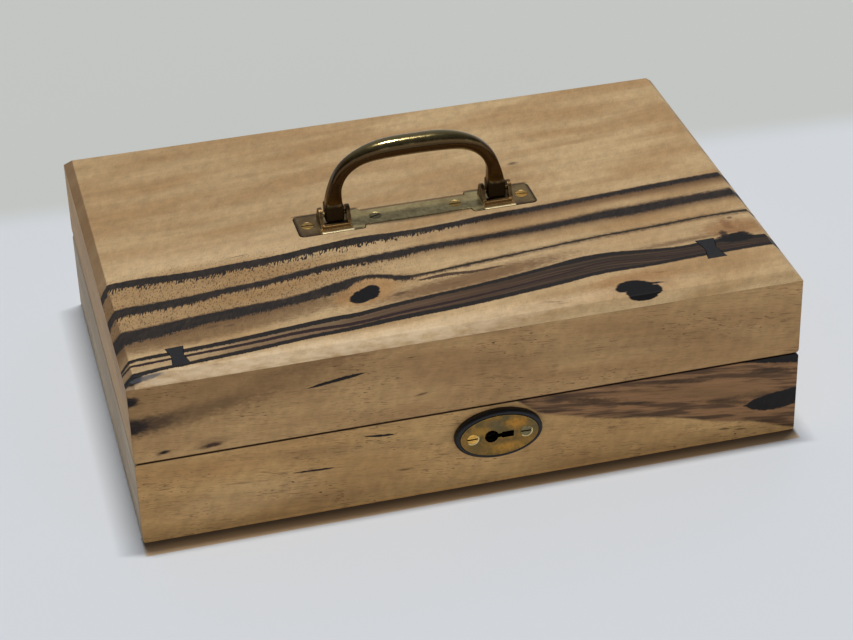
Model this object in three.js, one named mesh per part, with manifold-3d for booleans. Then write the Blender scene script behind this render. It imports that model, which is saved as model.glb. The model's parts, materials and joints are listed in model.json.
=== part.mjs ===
import * as THREE from 'three';
import { mergeVertices } from 'three/addons/utils/BufferGeometryUtils.js';
import Module from 'manifold-3d';

// A small lidded chest of mitred boards, with a folding bail handle on the lid, an oval
// keyhole escutcheon on the front, a box lock behind it and two butt hinges at the back.
// Millimetres. X runs along the front, Y to the back and Z up; the origin is the middle
// of the underside. The chest is built closed, with its handle standing.

// Case
const caseWidth = 300;
const caseDepth = 205.5;
const caseHeight = 83.4;
const seamHeight = 41.7;
const seamGap = 0.4;
const wall = 10;
const bottomThickness = 6;
const bottomRebate = 5;
const topChamfer = 4;
const crestRound = 1;
const fieldDepth = 5;
const endRound = 2;
const arris = 0.5;

// Clearances
const glueLine = 0.1;
const fitGap = 0.3;
const runningGap = 0.3;
const screwGap = 0.15;
const boreGap = 0.2;
const overrun = 1;
const weld = 0.0001;

// Butterfly keys let into the lid top across the grain: the middle of each from the end and
// the front of the case, its length and end width, and its turn in degrees
const leftKey = { inset: 24.5, fromFront: 14.2, length: 14.2, width: 8, turn: 4 };
const rightKey = { inset: 31.5, fromFront: 32, length: 16.4, width: 9, turn: 1 };
const keyWaist = 5.4;
const keyDepth = 4;

// Handle plate, let into the lid, with its middle off the middle of the lid
const handleX = 0.7;
const handleY = 2.3;
const plateLength = 112.4;
const padWidth = 18.8;
const padLength = 30.7;
const barWidth = 12.4;
const plateThickness = 2;
const plateProud = 0.3;
const plateCorner = 2.5;
const shoulderRound = 3;
const outerScrewInset = 5.2;
const innerScrewInset = 37.2;
const bearingInset = 17.8;

// Ears, ledge and pins that carry the handle
const pinHeight = 4.9;
const pinRadius = 1.1;
const earSpacing = 12.8;
const earThickness = 1.8;
const earBase = 12.4;
const earRadius = 3.4;
const pinProud = 0.3;

// Bail
const bailRise = 30;
const gripRadius = 4.75;
const legRadius = 2.95;
const footSideGap = 1.15;
const footFloorGap = 0.9;
const footTop = 5;
const toeDropShare = 0.735;
const legSink = 0.3;

// Shares of half the bail's run, from a foot to the middle of the grip
const taperStart = 0.06;
const taperEnd = 0.26;
const swellStart = 0.3;
const swellEnd = 0.85;
const boxyShare = 0.1;
const roundShare = 0.6;

// Oval escutcheon: a black boss with a brass plate let into its face
const bossEndBorder = 2.25;
const bossSideBorder = 2.05;
const bossProud = 3.5;
const bossRound = 1.6;
const ovalLength = 35.5;
const ovalHeight = 20.4;
const ovalThickness = 1.4;
const ovalProud = 0.2;
const ovalCentreX = 9.5;
const ovalScrewSpacing = 24.4;

// Keyhole
const keyholeRadius = 3.15;
const keyholeShift = 3.6;
const neckHeight = 1.7;
const neckReach = 5.1;
const wardHeight = 3.1;
const keyholeReach = 10.1;
const keyholeEase = 0.7;

// Box lock
const lockFlange = 6.5;
const lockHeight = 26;
const lockPlateThickness = 1.6;
const lockFrontWood = 2.2;
const selvedgeShort = 0.3;
const capSideRoom = 2.7;
const capWall = 0.8;
const capFoot = 3;
const keyPinRadius = 1.2;
const boltThrow = 5;
const boltThickness = 1.6;
const boltHeight = 6;
const boltTailEnd = 2.6;
const boltAboveKey = 6.9;
const tongueHeight = 3.6;
const tongueLength = 7;
const boltShort = 0.8;
const stumpRadius = 1.1;
const stumpOffset = 6;
const talonWidth = 4.5;
const talonDepth = 2.2;
const springLength = 20;
const springThickness = 0.4;
const springWidth = 2.4;
const springRise = 0.4;
const springHeadroom = 1.4;

// Link plate in the lid, with the loop that the bolt passes through
const linkPlateEnd = 2;
const linkPlateThickness = 1.4;
const linkScrewRoom = 3;
const linkOffset = 10;
const linkThickness = 2;
const linkRail = 1;
const linkSideGap = 0.4;
const linkBase = 1.4;
const slotEase = 0.5;

// Butt hinges
const hingeEndInset = 50;
const hingeInset = 2.6;
const hingeLength = 38;
const leafThickness = 1.2;
const leafReach = 6.4;
const barrelRadius = 2.2;
const hingePinRadius = 1;
const knuckleGap = 0.3;
const hingeScrewSpacing = 24;
const lidOpenAngle = 95;
const grooveSpareAngle = 4;

// Screws: head radius, head depth, shank radius, whole length, slot width and slot depth
const handleScrew = { head: 3, cone: 1.6, shank: 1.4, length: 8, slot: 0.8, cut: 0.8 };
const ovalScrew = { head: 2.6, cone: 1.2, shank: 1.1, length: 4.8, slot: 0.7, cut: 0.6 };
const lockScrew = { head: 2, cone: 1, shank: 1, length: 7, slot: 0.6, cut: 0.5 };
const hingeScrew = { head: 1.6, cone: 0.9, shank: 0.8, length: 8, slot: 0.5, cut: 0.4 };

// Facet counts
const cornerSteps = 3;
const roundSides = 24;
const smallSides = 12;
const screwSides = 20;
const hiddenScrewSides = 10;
const ovalSteps = 40;
const bailStations = 30;
const bailSides = 16;
const archSteps = 360;

// Places that follow from the sizes
const halfWidth = caseWidth / 2;
const halfDepth = caseDepth / 2;
const bodyTop = seamHeight - seamGap / 2;
const lidBottom = seamHeight + seamGap / 2;
const lidEdge = caseHeight - topChamfer;
const frontInside = -halfDepth + wall;
const hingeY = halfDepth - hingeInset;
const pinZ = caseHeight + pinHeight;
const plateTop = caseHeight + plateProud;
const plateFloor = plateTop - plateThickness;
const bailHalfWidth = plateLength / 2 - bearingInset;
const footWidth = earSpacing - earThickness - 2 * footSideGap;
const footDepth = 2 * (pinHeight - plateProud - footFloorGap);
const toeDrop = toeDropShare * footDepth / 2;
const ledgeHeight = pinHeight - toeDrop - runningGap;
const bossLength = ovalLength + 2 * bossEndBorder;
const bossHeight = ovalHeight + 2 * bossSideBorder;
const bossFront = -halfDepth - bossProud;
const ovalFront = bossFront - ovalProud;

// Places in the lock, down from the rim and in from the inside face of the front
const springRoom = runningGap + springThickness + springRise + springHeadroom;
const boltZ = bodyTop - lockPlateThickness - springRoom - boltHeight / 2;
const keyZ = boltZ - boltAboveKey;
const ovalCentreZ = keyZ;
const lockX = ovalCentreX - keyholeShift;
const capDepth = wall - lockPlateThickness - lockFrontWood;
const selvedgeWidth = lockPlateThickness + capDepth - selvedgeShort;
const boltY = frontInside - lockPlateThickness - (capDepth - capWall) / 2;
const capFront = frontInside - lockPlateThickness - capDepth;
const selvedgeY = frontInside - selvedgeWidth / 2;
const boltSlotRadius = stumpRadius + runningGap;
const boltTail = stumpOffset + boltSlotRadius + boltThrow + boltTailEnd;
const capWidth = 2 * (boltTail + capSideRoom + capWall);
const lockWidth = capWidth + 2 * lockFlange;
const linkX = lockX + linkOffset;
const linkWidth = boltThickness + 2 * (linkSideGap + linkRail);
const linkScrewX = linkOffset + linkThickness / 2 + linkScrewRoom + lockScrew.head;
const linkPlateLength = 2 * (linkScrewX + lockScrew.head + linkPlateEnd);

const wasm = await Module();
wasm.setup();

const X = new THREE.Vector3(1, 0, 0);
const Y = new THREE.Vector3(0, 1, 0);
const Z = new THREE.Vector3(0, 0, 1);

// A closed solid from a geometry: corners welded and collapsed triangles dropped.
function solidOf(geometry) {
  const bare = geometry.clone();
  bare.deleteAttribute('normal');
  bare.deleteAttribute('uv');
  const welded = mergeVertices(bare, weld);
  const corners = welded.index.array;
  const kept = [];
  for (let i = 0; i < corners.length; i += 3) {
    const [a, b, c] = [corners[i], corners[i + 1], corners[i + 2]];
    if (a !== b && b !== c && c !== a) kept.push(a, b, c);
  }
  const vertProperties = new Float32Array(welded.attributes.position.array);
  const triVerts = new Uint32Array(kept);
  return new wasm.Manifold(new wasm.Mesh({ numProp: 3, vertProperties, triVerts }));
}

function geometryOf(solid) {
  const { vertProperties, triVerts } = solid.getMesh();
  const geometry = new THREE.BufferGeometry();
  geometry.setAttribute('position', new THREE.BufferAttribute(vertProperties, 3));
  geometry.setIndex(new THREE.BufferAttribute(triVerts, 1));
  geometry.computeVertexNormals();
  return geometry;
}

// An outline from corners [x, y, radius]; a rounding takes at most half of each edge beside it.
function outline(corners) {
  const points = [];
  corners.forEach(([x, y, radius = 0], i) => {
    const corner = new THREE.Vector2(x, y);
    if (radius === 0) {
      points.push(corner);
      return;
    }
    const last = corners[(i + corners.length - 1) % corners.length];
    const next = corners[(i + 1) % corners.length];
    const back = new THREE.Vector2(last[0], last[1]).sub(corner);
    const ahead = new THREE.Vector2(next[0], next[1]).sub(corner);
    const room = Math.min(back.length(), ahead.length()) / 2;
    back.normalize();
    ahead.normalize();
    const half = Math.acos(THREE.MathUtils.clamp(back.dot(ahead), -1, 1)) / 2;
    const run = Math.min(radius / Math.tan(half), room);
    const middle = back.clone().add(ahead).setLength(run / Math.cos(half)).add(corner);
    const start = back.clone().multiplyScalar(run).add(corner).sub(middle);
    const end = ahead.clone().multiplyScalar(run).add(corner).sub(middle);
    const sweep = Math.atan2(start.cross(end), start.dot(end));
    for (let k = 0; k <= cornerSteps; k += 1) {
      const turned = start.clone().rotateAround(new THREE.Vector2(), sweep * k / cornerSteps);
      points.push(turned.add(middle));
    }
  });
  return points;
}

function rectangle(left, low, right, high, radius = 0) {
  return outline([[left, low, radius], [right, low, radius], [right, high, radius], [left, high, radius]]);
}

function ellipse(x, y, halfX, halfY, sides) {
  return Array.from({ length: sides }, (_, k) => {
    const angle = 2 * Math.PI * k / sides;
    return new THREE.Vector2(x + halfX * Math.cos(angle), y + halfY * Math.sin(angle));
  });
}

function circle(x, y, radius, sides) {
  return ellipse(x, y, radius, radius, sides);
}

// An outline pushed along an axis. It is drawn in (y, z) along x, (x, z) along y, (x, y) along z.
function prism(points, axis, from, to) {
  const options = { depth: to - from, bevelEnabled: false, steps: 1 };
  const geometry = new THREE.ExtrudeGeometry(new THREE.Shape(points), options);
  const turn = new THREE.Matrix4();
  if (axis === 'x') turn.makeBasis(Y, Z, X).setPosition(from, 0, 0);
  if (axis === 'y') turn.makeBasis(X, Z, Y.clone().negate()).setPosition(0, to, 0);
  if (axis === 'z') turn.setPosition(0, 0, from);
  return solidOf(geometry.applyMatrix4(turn));
}

function box(low, high) {
  return prism(rectangle(low[0], low[1], high[0], high[1]), 'z', low[2], high[2]);
}

// A closed solid through rings of points, each with the same count, with flat ends.
function loft(rings) {
  const count = rings[0].length;
  const positions = [];
  const triangles = [];
  const middle = (ring) => ring.reduce((sum, p) => sum.add(p), new THREE.Vector3()).divideScalar(count);
  rings.forEach((ring) => ring.forEach((p) => positions.push(p.x, p.y, p.z)));
  for (let i = 0; i + 1 < rings.length; i += 1) {
    for (let k = 0; k < count; k += 1) {
      const a = i * count + k;
      const b = i * count + (k + 1) % count;
      triangles.push(a, b, b + count, a, b + count, a + count);
    }
  }
  const first = rings.length * count;
  const start = middle(rings[0]);
  const end = middle(rings[rings.length - 1]);
  positions.push(start.x, start.y, start.z, end.x, end.y, end.z);
  for (let k = 0; k < count; k += 1) {
    const next = (k + 1) % count;
    triangles.push(first, next, k);
    triangles.push(first + 1, first - count + k, first - count + next);
  }
  const geometry = new THREE.BufferGeometry();
  geometry.setAttribute('position', new THREE.Float32BufferAttribute(positions, 3));
  geometry.setIndex(triangles);
  return solidOf(geometry);
}

function joined(...solids) {
  return solids.reduce((all, solid) => all.add(solid));
}

function cut(solid, ...tools) {
  return tools.reduce((rest, tool) => rest.subtract(tool), solid);
}

// Finishes
const wood = new THREE.MeshStandardMaterial({ color: 0xb08c5e, roughness: 0.5 });
const ebony = new THREE.MeshStandardMaterial({ color: 0x17171a, roughness: 0.4 });
const castBrass = new THREE.MeshStandardMaterial({ color: 0x5e5338, roughness: 0.45, metalness: 0.9 });
const bronze = new THREE.MeshStandardMaterial({ color: 0x3d3020, roughness: 0.3, metalness: 0.9 });
const brass = new THREE.MeshStandardMaterial({ color: 0xa88642, roughness: 0.35, metalness: 0.9 });
const steel = new THREE.MeshStandardMaterial({ color: 0x777a7d, roughness: 0.4, metalness: 0.9 });

// Groups: the lid turns about the hinge pins, the bail about its own pins, the bolt slides.
const chest = new THREE.Group();
const lid = new THREE.Group();
const handle = new THREE.Group();
const bolt = new THREE.Group();
chest.add(lid, bolt);
lid.add(handle);
lid.position.set(0, hingeY, seamHeight);
handle.position.set(handleX, handleY, pinZ).sub(lid.position);
bolt.position.set(lockX, boltY, boltZ);

// Hangs a solid, built where it lies in the closed chest, on its group about its own middle.
function piece(name, solid, material, group) {
  const geometry = geometryOf(solid);
  geometry.computeBoundingBox();
  const middle = geometry.boundingBox.getCenter(new THREE.Vector3());
  geometry.translate(-middle.x, -middle.y, -middle.z);
  const mesh = new THREE.Mesh(geometry, material);
  mesh.name = name;
  mesh.position.copy(middle).sub(group.getWorldPosition(new THREE.Vector3()));
  group.add(mesh);
}

// A turned solid about a line through a place, from its head downwards against the out direction.
function turnedSolid(profile, place, out, sides) {
  const geometry = new THREE.LatheGeometry(profile.map(([r, h]) => new THREE.Vector2(r, h)), sides);
  geometry.applyQuaternion(new THREE.Quaternion().setFromUnitVectors(Y, out));
  geometry.translate(place.x, place.y, place.z);
  return solidOf(geometry);
}

// A countersunk slotted screw whose head is flush at the place.
function screw(size, place, out, sides) {
  const { head, cone, shank, length } = size;
  const body = [[0, -length], [shank, -length + shank], [shank, -cone], [head, 0], [0, 0]];
  const slot = new THREE.BoxGeometry(2 * (head + overrun), 2 * size.cut, size.slot);
  slot.applyQuaternion(new THREE.Quaternion().setFromUnitVectors(Y, out));
  slot.translate(place.x, place.y, place.z);
  return cut(turnedSolid(body, place, out, sides), solidOf(slot));
}

// The hole that such a screw needs, open above its head.
function screwHole(size, place, out, sides) {
  const head = size.head + screwGap;
  const shank = size.shank + screwGap;
  const floor = -size.length - screwGap;
  const hole = [[0, floor], [shank, floor], [shank, -size.cone], [head, 0], [head, overrun], [0, overrun]];
  return turnedSolid(hole, place, out, sides);
}

// The keyhole, seen along Y: a round hole, a narrow neck and a wider slot for the bit.
function keyhole(from, to, grow) {
  const end = lockX + keyholeReach;
  const neckHalf = neckHeight / 2 + grow;
  const wardHalf = wardHeight / 2 + grow;
  const round = circle(lockX, keyZ, keyholeRadius + grow, roundSides);
  const neck = rectangle(lockX, keyZ - neckHalf, end, keyZ + neckHalf);
  const ward = rectangle(lockX + neckReach - grow, keyZ - wardHalf, end + grow, keyZ + wardHalf);
  return joined(...[round, neck, ward].map((part) => prism(part, 'y', from, to)));
}

// The case outline in plan, with its softened upright corners.
function caseColumn(low, high) {
  return prism(rectangle(-halfWidth, -halfDepth, halfWidth, halfDepth, arris), 'z', low, high);
}

// Half of the V groove that the hinge barrels lie in: its edge on the rim and on the back.
const grooveAngle = THREE.MathUtils.degToRad((lidOpenAngle + grooveSpareAngle) / 2);
const grooveRimY = hingeY + seamGap / 2 / Math.tan(grooveAngle);
const grooveReach = hingeInset * Math.tan(grooveAngle);

function bodyEnvelope() {
  const ends = rectangle(-halfWidth, 0, halfWidth, bodyTop, endRound);
  const sides = outline([
    [-halfDepth, 0, arris], [halfDepth, 0, arris], [halfDepth, seamHeight - grooveReach],
    [grooveRimY, bodyTop], [-halfDepth, bodyTop, arris],
  ]);
  return prism(ends, 'y', -halfDepth, halfDepth)
    .intersect(prism(sides, 'x', -halfWidth, halfWidth))
    .intersect(caseColumn(0, bodyTop));
}

function lidEnvelope() {
  const ends = outline([
    [-halfWidth, lidBottom, endRound], [halfWidth, lidBottom, endRound], [halfWidth, lidEdge],
    [halfWidth - topChamfer, caseHeight, crestRound], [-halfWidth + topChamfer, caseHeight, crestRound],
    [-halfWidth, lidEdge],
  ]);
  const sides = outline([
    [-halfDepth, lidBottom, arris], [grooveRimY, lidBottom], [halfDepth, seamHeight + grooveReach],
    [halfDepth, lidEdge], [halfDepth - topChamfer, caseHeight, crestRound],
    [-halfDepth + topChamfer, caseHeight, crestRound], [-halfDepth, lidEdge],
  ]);
  return prism(ends, 'y', -halfDepth, halfDepth)
    .intersect(prism(sides, 'x', -halfWidth, halfWidth))
    .intersect(caseColumn(lidBottom, caseHeight));
}

// Four mitred boards within an envelope. Each mitre keeps half the glue line.
function mitredBoards(envelope, low, high) {
  const mitre = glueLine / 2 * Math.SQRT2;
  const [insideX, insideY] = [halfWidth - wall, halfDepth - wall];
  const long = (side) => outline([
    [-halfWidth + mitre, side * halfDepth], [halfWidth - mitre, side * halfDepth],
    [insideX - mitre, side * insideY], [-insideX + mitre, side * insideY],
  ]);
  const short = (side) => outline([
    [side * halfWidth, -halfDepth + mitre], [side * halfWidth, halfDepth - mitre],
    [side * insideX, insideY - mitre], [side * insideX, -insideY + mitre],
  ]);
  const board = (plan) => envelope.intersect(prism(plan, 'z', low, high));
  return { front: board(long(-1)), back: board(long(1)), left: board(short(-1)), right: board(short(1)) };
}

// Box lock: where its screws go
const lockScrewX = (lockWidth + capWidth) / 4 + fitGap / 2;
const lockScrewPlaces = [
  ['lock_screw_plate_left', new THREE.Vector3(lockX - lockScrewX, frontInside, keyZ), Y],
  ['lock_screw_plate_right', new THREE.Vector3(lockX + lockScrewX, frontInside, keyZ), Y],
  ['lock_screw_rim_left', new THREE.Vector3(lockX - lockScrewX, selvedgeY, bodyTop), Z],
  ['lock_screw_rim_right', new THREE.Vector3(lockX + lockScrewX, selvedgeY, bodyTop), Z],
];
const lockHoles = lockScrewPlaces.map(([, place, out]) => (
  screwHole(lockScrew, place, out, hiddenScrewSides)
));

function lockPlateBlock(grow, above) {
  const left = lockX - lockWidth / 2 - grow;
  const right = lockX + lockWidth / 2 + grow;
  const foot = bodyTop - lockHeight - grow;
  return joined(
    box(
      [left, frontInside - lockPlateThickness - grow, foot],
      [right, frontInside + above, bodyTop + above],
    ),
    box(
      [left, frontInside - selvedgeWidth - grow, bodyTop - lockPlateThickness - grow],
      [right, frontInside + above, bodyTop + above],
    ),
  );
}

function capBlock(inset, back) {
  return box(
    [lockX - capWidth / 2 + inset, capFront + inset, bodyTop - lockHeight + capFoot + inset],
    [lockX + capWidth / 2 - inset, back, bodyTop - lockPlateThickness - glueLine - inset],
  );
}

// The hole that the link's loop drops through, in the rim plate and the cap.
function linkSlot() {
  return box(
    [linkX - linkThickness / 2 - slotEase, boltY - linkWidth / 2 - slotEase, boltZ],
    [linkX + linkThickness / 2 + slotEase, boltY + linkWidth / 2 + slotEase, bodyTop + overrun],
  );
}

function lock() {
  const stump = circle(lockX - stumpOffset, boltZ, stumpRadius, smallSides);
  const stumpFront = boltY - boltThickness / 2 - runningGap;
  const pinHole = circle(lockX, keyZ, keyPinRadius + glueLine, smallSides);
  const plate = cut(
    joined(lockPlateBlock(0, 0), prism(stump, 'y', stumpFront, frontInside - lockPlateThickness / 2)),
    ...lockHoles, linkSlot(),
    prism(pinHole, 'y', frontInside - lockPlateThickness - overrun, frontInside + overrun),
  );
  piece('lock_plate', plate, brass, chest);

  const back = frontInside - lockPlateThickness - glueLine;
  const cap = cut(
    capBlock(0, back), capBlock(capWall, back + overrun), linkSlot(),
    keyhole(capFront - overrun, capFront + capWall + overrun, keyholeEase),
  );
  piece('lock_cap', cap, brass, chest);

  const keyPin = circle(lockX, keyZ, keyPinRadius, smallSides);
  piece('lock_key_pin', prism(keyPin, 'y', capFront, frontInside), steel, chest);

  lockScrewPlaces.forEach(([name, place, out]) => {
    piece(name, screw(lockScrew, place, out, hiddenScrewSides), brass, chest);
  });

  const tip = linkX - linkThickness / 2 - boltShort;
  const tail = lockX - boltTail;
  const tongueHalf = tongueHeight / 2;
  const bar = rectangle(tail, boltZ - boltHeight / 2, tip - tongueLength, boltZ + boltHeight / 2);
  const tongue = rectangle(tip - tongueLength - overrun, boltZ - tongueHalf, tip, boltZ + tongueHalf);
  const slot = rectangle(
    lockX - stumpOffset - boltSlotRadius - boltThrow, boltZ - boltSlotRadius,
    lockX - stumpOffset + boltSlotRadius, boltZ + boltSlotRadius,
  );
  const talon = rectangle(
    tip - tongueLength - talonWidth, boltZ - boltHeight / 2 - overrun,
    tip - tongueLength - boltShort, boltZ - boltHeight / 2 + talonDepth,
  );
  const [barSolid, tongueSolid] = [bar, tongue].map((part) => (
    prism(part, 'y', boltY - boltThickness / 2, boltY + boltThickness / 2)
  ));
  const [slotSolid, talonSolid] = [slot, talon].map((part) => (
    prism(part, 'y', boltY - boltThickness, boltY + boltThickness)
  ));
  piece('lock_bolt', cut(joined(barSolid, tongueSolid), slotSolid, talonSolid), steel, bolt);

  // A bowed leaf spring over the bolt keeps it from drifting.
  const springFoot = boltZ + boltHeight / 2 + runningGap;
  const bow = (lift) => Array.from({ length: smallSides + 1 }, (_, k) => new THREE.Vector2(
    tail + springLength * k / smallSides,
    springFoot + lift + springRise * Math.sin(Math.PI * k / smallSides),
  ));
  const springOutline = [...bow(0), ...bow(springThickness).reverse()];
  const spring = prism(springOutline, 'y', boltY - springWidth / 2, boltY + springWidth / 2);
  piece('lock_spring', spring, steel, chest);
}

// Link plate in the rim of the lid front
const toFloor = Z.clone().negate();
const linkScrewPlaces = [['link_screw_left', -1], ['link_screw_right', 1]].map(([name, side]) => (
  [name, new THREE.Vector3(lockX + side * linkScrewX, selvedgeY, lidBottom), toFloor]
));
const linkHoles = linkScrewPlaces.map(([, place, out]) => (
  screwHole(lockScrew, place, out, hiddenScrewSides)
));

function linkPlateBlock(grow, below) {
  return box(
    [lockX - linkPlateLength / 2 - grow, frontInside - selvedgeWidth - grow, lidBottom - below],
    [lockX + linkPlateLength / 2 + grow, frontInside + below, lidBottom + linkPlateThickness + grow],
  );
}

// The loop is a staple: its stem fills a hole in the plate, flush with the plate's far side.
function linkPlate() {
  const eye = tongueHeight / 2 + slotEase;
  const half = linkWidth / 2;
  const left = linkX - linkThickness / 2;
  const right = linkX + linkThickness / 2;
  const staple = (grow) => prism(rectangle(
    boltY - half - grow, boltZ - eye - linkBase - grow,
    boltY + half + grow, lidBottom + linkPlateThickness + grow,
  ), 'x', left - grow, right + grow);
  const hole = rectangle(boltY - half + linkRail, boltZ - eye, boltY + half - linkRail, boltZ + eye);
  piece('link_plate', cut(linkPlateBlock(0, 0), staple(glueLine), ...linkHoles), brass, lid);
  piece('link_loop', cut(staple(0), prism(hole, 'x', left - overrun, right + overrun)), brass, lid);
  linkScrewPlaces.forEach(([name, place, out]) => {
    piece(name, screw(lockScrew, place, out, hiddenScrewSides), brass, lid);
  });
}

// Hinges
const knuckle = (hingeLength - 2 * knuckleGap) / 3;
const barrelClear = barrelRadius + fitGap;
const hingeX = halfWidth - hingeEndInset;
const hinges = [['left', -hingeX], ['right', hingeX]].map(([side, x]) => ({
  side,
  left: x - hingeLength / 2,
  right: x + hingeLength / 2,
  screwX: [x - hingeScrewSpacing / 2, x + hingeScrewSpacing / 2],
}));
const leafScrewY = hingeY - (barrelClear + leafReach) / 2;

function hingeScrews(hinge, body) {
  const up = body ? 1 : -1;
  const rim = body ? bodyTop : lidBottom;
  return hinge.screwX.map((x) => [new THREE.Vector3(x, leafScrewY, rim), new THREE.Vector3(0, 0, up)]);
}

// The room a hinge needs in the rim of a back board, down or up from the seam.
function hingePocket(hinge, body) {
  const rim = body ? bodyTop : lidBottom;
  const deep = body ? -leafThickness - fitGap : leafThickness + fitGap;
  const open = body ? overrun : -overrun;
  const left = hinge.left - fitGap;
  const right = hinge.right + fitGap;
  const leaf = box(
    [left, hingeY - leafReach - fitGap, Math.min(rim + deep, rim + open)],
    [right, hingeY, Math.max(rim + deep, rim + open)],
  );
  const barrel = prism(circle(hingeY, seamHeight, barrelClear + fitGap, roundSides), 'x', left, right);
  return joined(leaf, barrel);
}

function leaf(hinge, body) {
  const rim = body ? bodyTop : lidBottom;
  const low = body ? rim - leafThickness : rim;
  const high = low + leafThickness;
  const middle = [hinge.left + knuckle + knuckleGap, hinge.right - knuckle - knuckleGap];
  const outer = [[hinge.left, middle[0] - knuckleGap], [middle[1] + knuckleGap, hinge.right]];
  const own = body ? outer : [middle];
  const flap = box([hinge.left, hingeY - leafReach, low], [hinge.right, hingeY - barrelClear, high]);
  const knuckles = own.map(([from, to]) => joined(
    prism(circle(hingeY, seamHeight, barrelRadius, roundSides), 'x', from, to),
    box([from, hingeY - barrelClear - overrun, low], [to, hingeY - hingePinRadius, high]),
  ));
  const bore = circle(hingeY, seamHeight, hingePinRadius + boreGap, smallSides);
  const holes = hingeScrews(hinge, body).map(([p, out]) => screwHole(hingeScrew, p, out, hiddenScrewSides));
  return cut(
    joined(flap, ...knuckles), prism(bore, 'x', hinge.left - overrun, hinge.right + overrun), ...holes,
  );
}

function hinge(entry) {
  const name = `hinge_${entry.side}`;
  piece(`${name}_body_leaf`, leaf(entry, true), brass, chest);
  piece(`${name}_lid_leaf`, leaf(entry, false), brass, lid);
  const pin = circle(hingeY, seamHeight, hingePinRadius, smallSides);
  piece(`${name}_pin`, prism(pin, 'x', entry.left, entry.right), brass, chest);
  hingeScrews(entry, true).forEach(([place, out], i) => {
    piece(`${name}_body_screw_${i + 1}`, screw(hingeScrew, place, out, hiddenScrewSides), brass, chest);
  });
  hingeScrews(entry, false).forEach(([place, out], i) => {
    piece(`${name}_lid_screw_${i + 1}`, screw(hingeScrew, place, out, hiddenScrewSides), brass, lid);
  });
}

function hingeCuts(body) {
  return hinges.flatMap((entry) => [
    hingePocket(entry, body),
    ...hingeScrews(entry, body).map(([place, out]) => screwHole(hingeScrew, place, out, hiddenScrewSides)),
  ]);
}

// Escutcheon on the body front
const ovalScrewPlaces = [-1, 1].map((side) => (
  new THREE.Vector3(ovalCentreX + side * ovalScrewSpacing / 2, ovalFront, ovalCentreZ)
));
const toFront = Y.clone().negate();

function bossSolid() {
  const ring = (inset, y) => ellipse(
    ovalCentreX, ovalCentreZ, bossLength / 2 - inset, bossHeight / 2 - inset, ovalSteps,
  ).map((p) => new THREE.Vector3(p.x, y, p.y));
  const rings = [ring(0, -halfDepth - glueLine)];
  for (let k = 0; k <= cornerSteps; k += 1) {
    const angle = Math.PI / 2 * k / cornerSteps;
    rings.push(ring(bossRound * (1 - Math.cos(angle)), bossFront + bossRound * (1 - Math.sin(angle))));
  }
  return loft(rings);
}

function escutcheon() {
  const holes = ovalScrewPlaces.map((place) => screwHole(ovalScrew, place, toFront, screwSides));
  const oval = (grow) => ellipse(
    ovalCentreX, ovalCentreZ, ovalLength / 2 + grow, ovalHeight / 2 + grow, ovalSteps,
  );
  const ovalBack = ovalFront + ovalThickness;
  const boss = cut(
    bossSolid(), prism(oval(fitGap), 'y', bossFront - overrun, ovalBack + glueLine),
    keyhole(bossFront - overrun, -halfDepth + overrun, keyholeEase), ...holes,
  );
  piece('escutcheon_boss', boss, ebony, chest);
  const plate = cut(
    prism(oval(0), 'y', ovalFront, ovalBack), keyhole(ovalFront - overrun, ovalBack + overrun, 0), ...holes,
  );
  piece('escutcheon_plate', plate, castBrass, chest);
  ['left', 'right'].forEach((side, i) => {
    const solid = screw(ovalScrew, ovalScrewPlaces[i], toFront, screwSides);
    piece(`escutcheon_screw_${side}`, solid, brass, chest);
  });
  return holes;
}

function body(frontHoles) {
  const boards = mitredBoards(bodyEnvelope(), 0, bodyTop);
  const lip = wall - bottomRebate;
  const floor = (grow) => box(
    [-halfWidth + lip - grow, -halfDepth + lip - grow, -grow],
    [halfWidth - lip + grow, halfDepth - lip + grow, bottomThickness + grow],
  );
  const seat = floor(glueLine);
  const mortise = joined(
    lockPlateBlock(fitGap, overrun),
    box(
      [lockX - capWidth / 2 - fitGap, capFront - fitGap, bodyTop - lockHeight + capFoot - fitGap],
      [lockX + capWidth / 2 + fitGap, frontInside + overrun, bodyTop - lockPlateThickness],
    ),
  );
  const front = cut(
    boards.front, seat, mortise, ...lockHoles, ...frontHoles,
    keyhole(-halfDepth - overrun, capFront, keyholeEase),
  );
  piece('body_front', front, wood, chest);
  piece('body_back', cut(boards.back, seat, ...hingeCuts(true)), wood, chest);
  piece('body_left', cut(boards.left, seat), wood, chest);
  piece('body_right', cut(boards.right, seat), wood, chest);
  piece('body_bottom', floor(0), wood, chest);
}

// Handle
const outerScrewX = plateLength / 2 - outerScrewInset;
const innerScrewX = plateLength / 2 - innerScrewInset;
const handleScrewPlaces = [-outerScrewX, -innerScrewX, innerScrewX, outerScrewX]
  .map((x) => new THREE.Vector3(handleX + x, handleY, plateTop));
const bearings = [-bailHalfWidth, bailHalfWidth].map((x) => handleX + x);
const footRound = footDepth / 2;

// The plate seen from above, grown on all sides.
function plateOutline(grow) {
  const end = plateLength / 2 + grow;
  const pad = plateLength / 2 - padLength - grow;
  const [padHalf, barHalf] = [padWidth / 2 + grow, barWidth / 2 + grow];
  const corner = (x, y, radius) => [handleX + x, handleY + y, radius];
  const half = [
    corner(pad, -barHalf, shoulderRound / 2), corner(pad, -padHalf, shoulderRound / 2),
    corner(end, -padHalf, plateCorner), corner(end, padHalf, plateCorner),
    corner(pad, padHalf, shoulderRound / 2), corner(pad, barHalf, shoulderRound / 2),
  ];
  const otherHalf = half.map(([x, y, radius]) => [2 * handleX - x, 2 * handleY - y, radius]);
  return outline([...half, ...otherHalf]);
}

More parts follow.
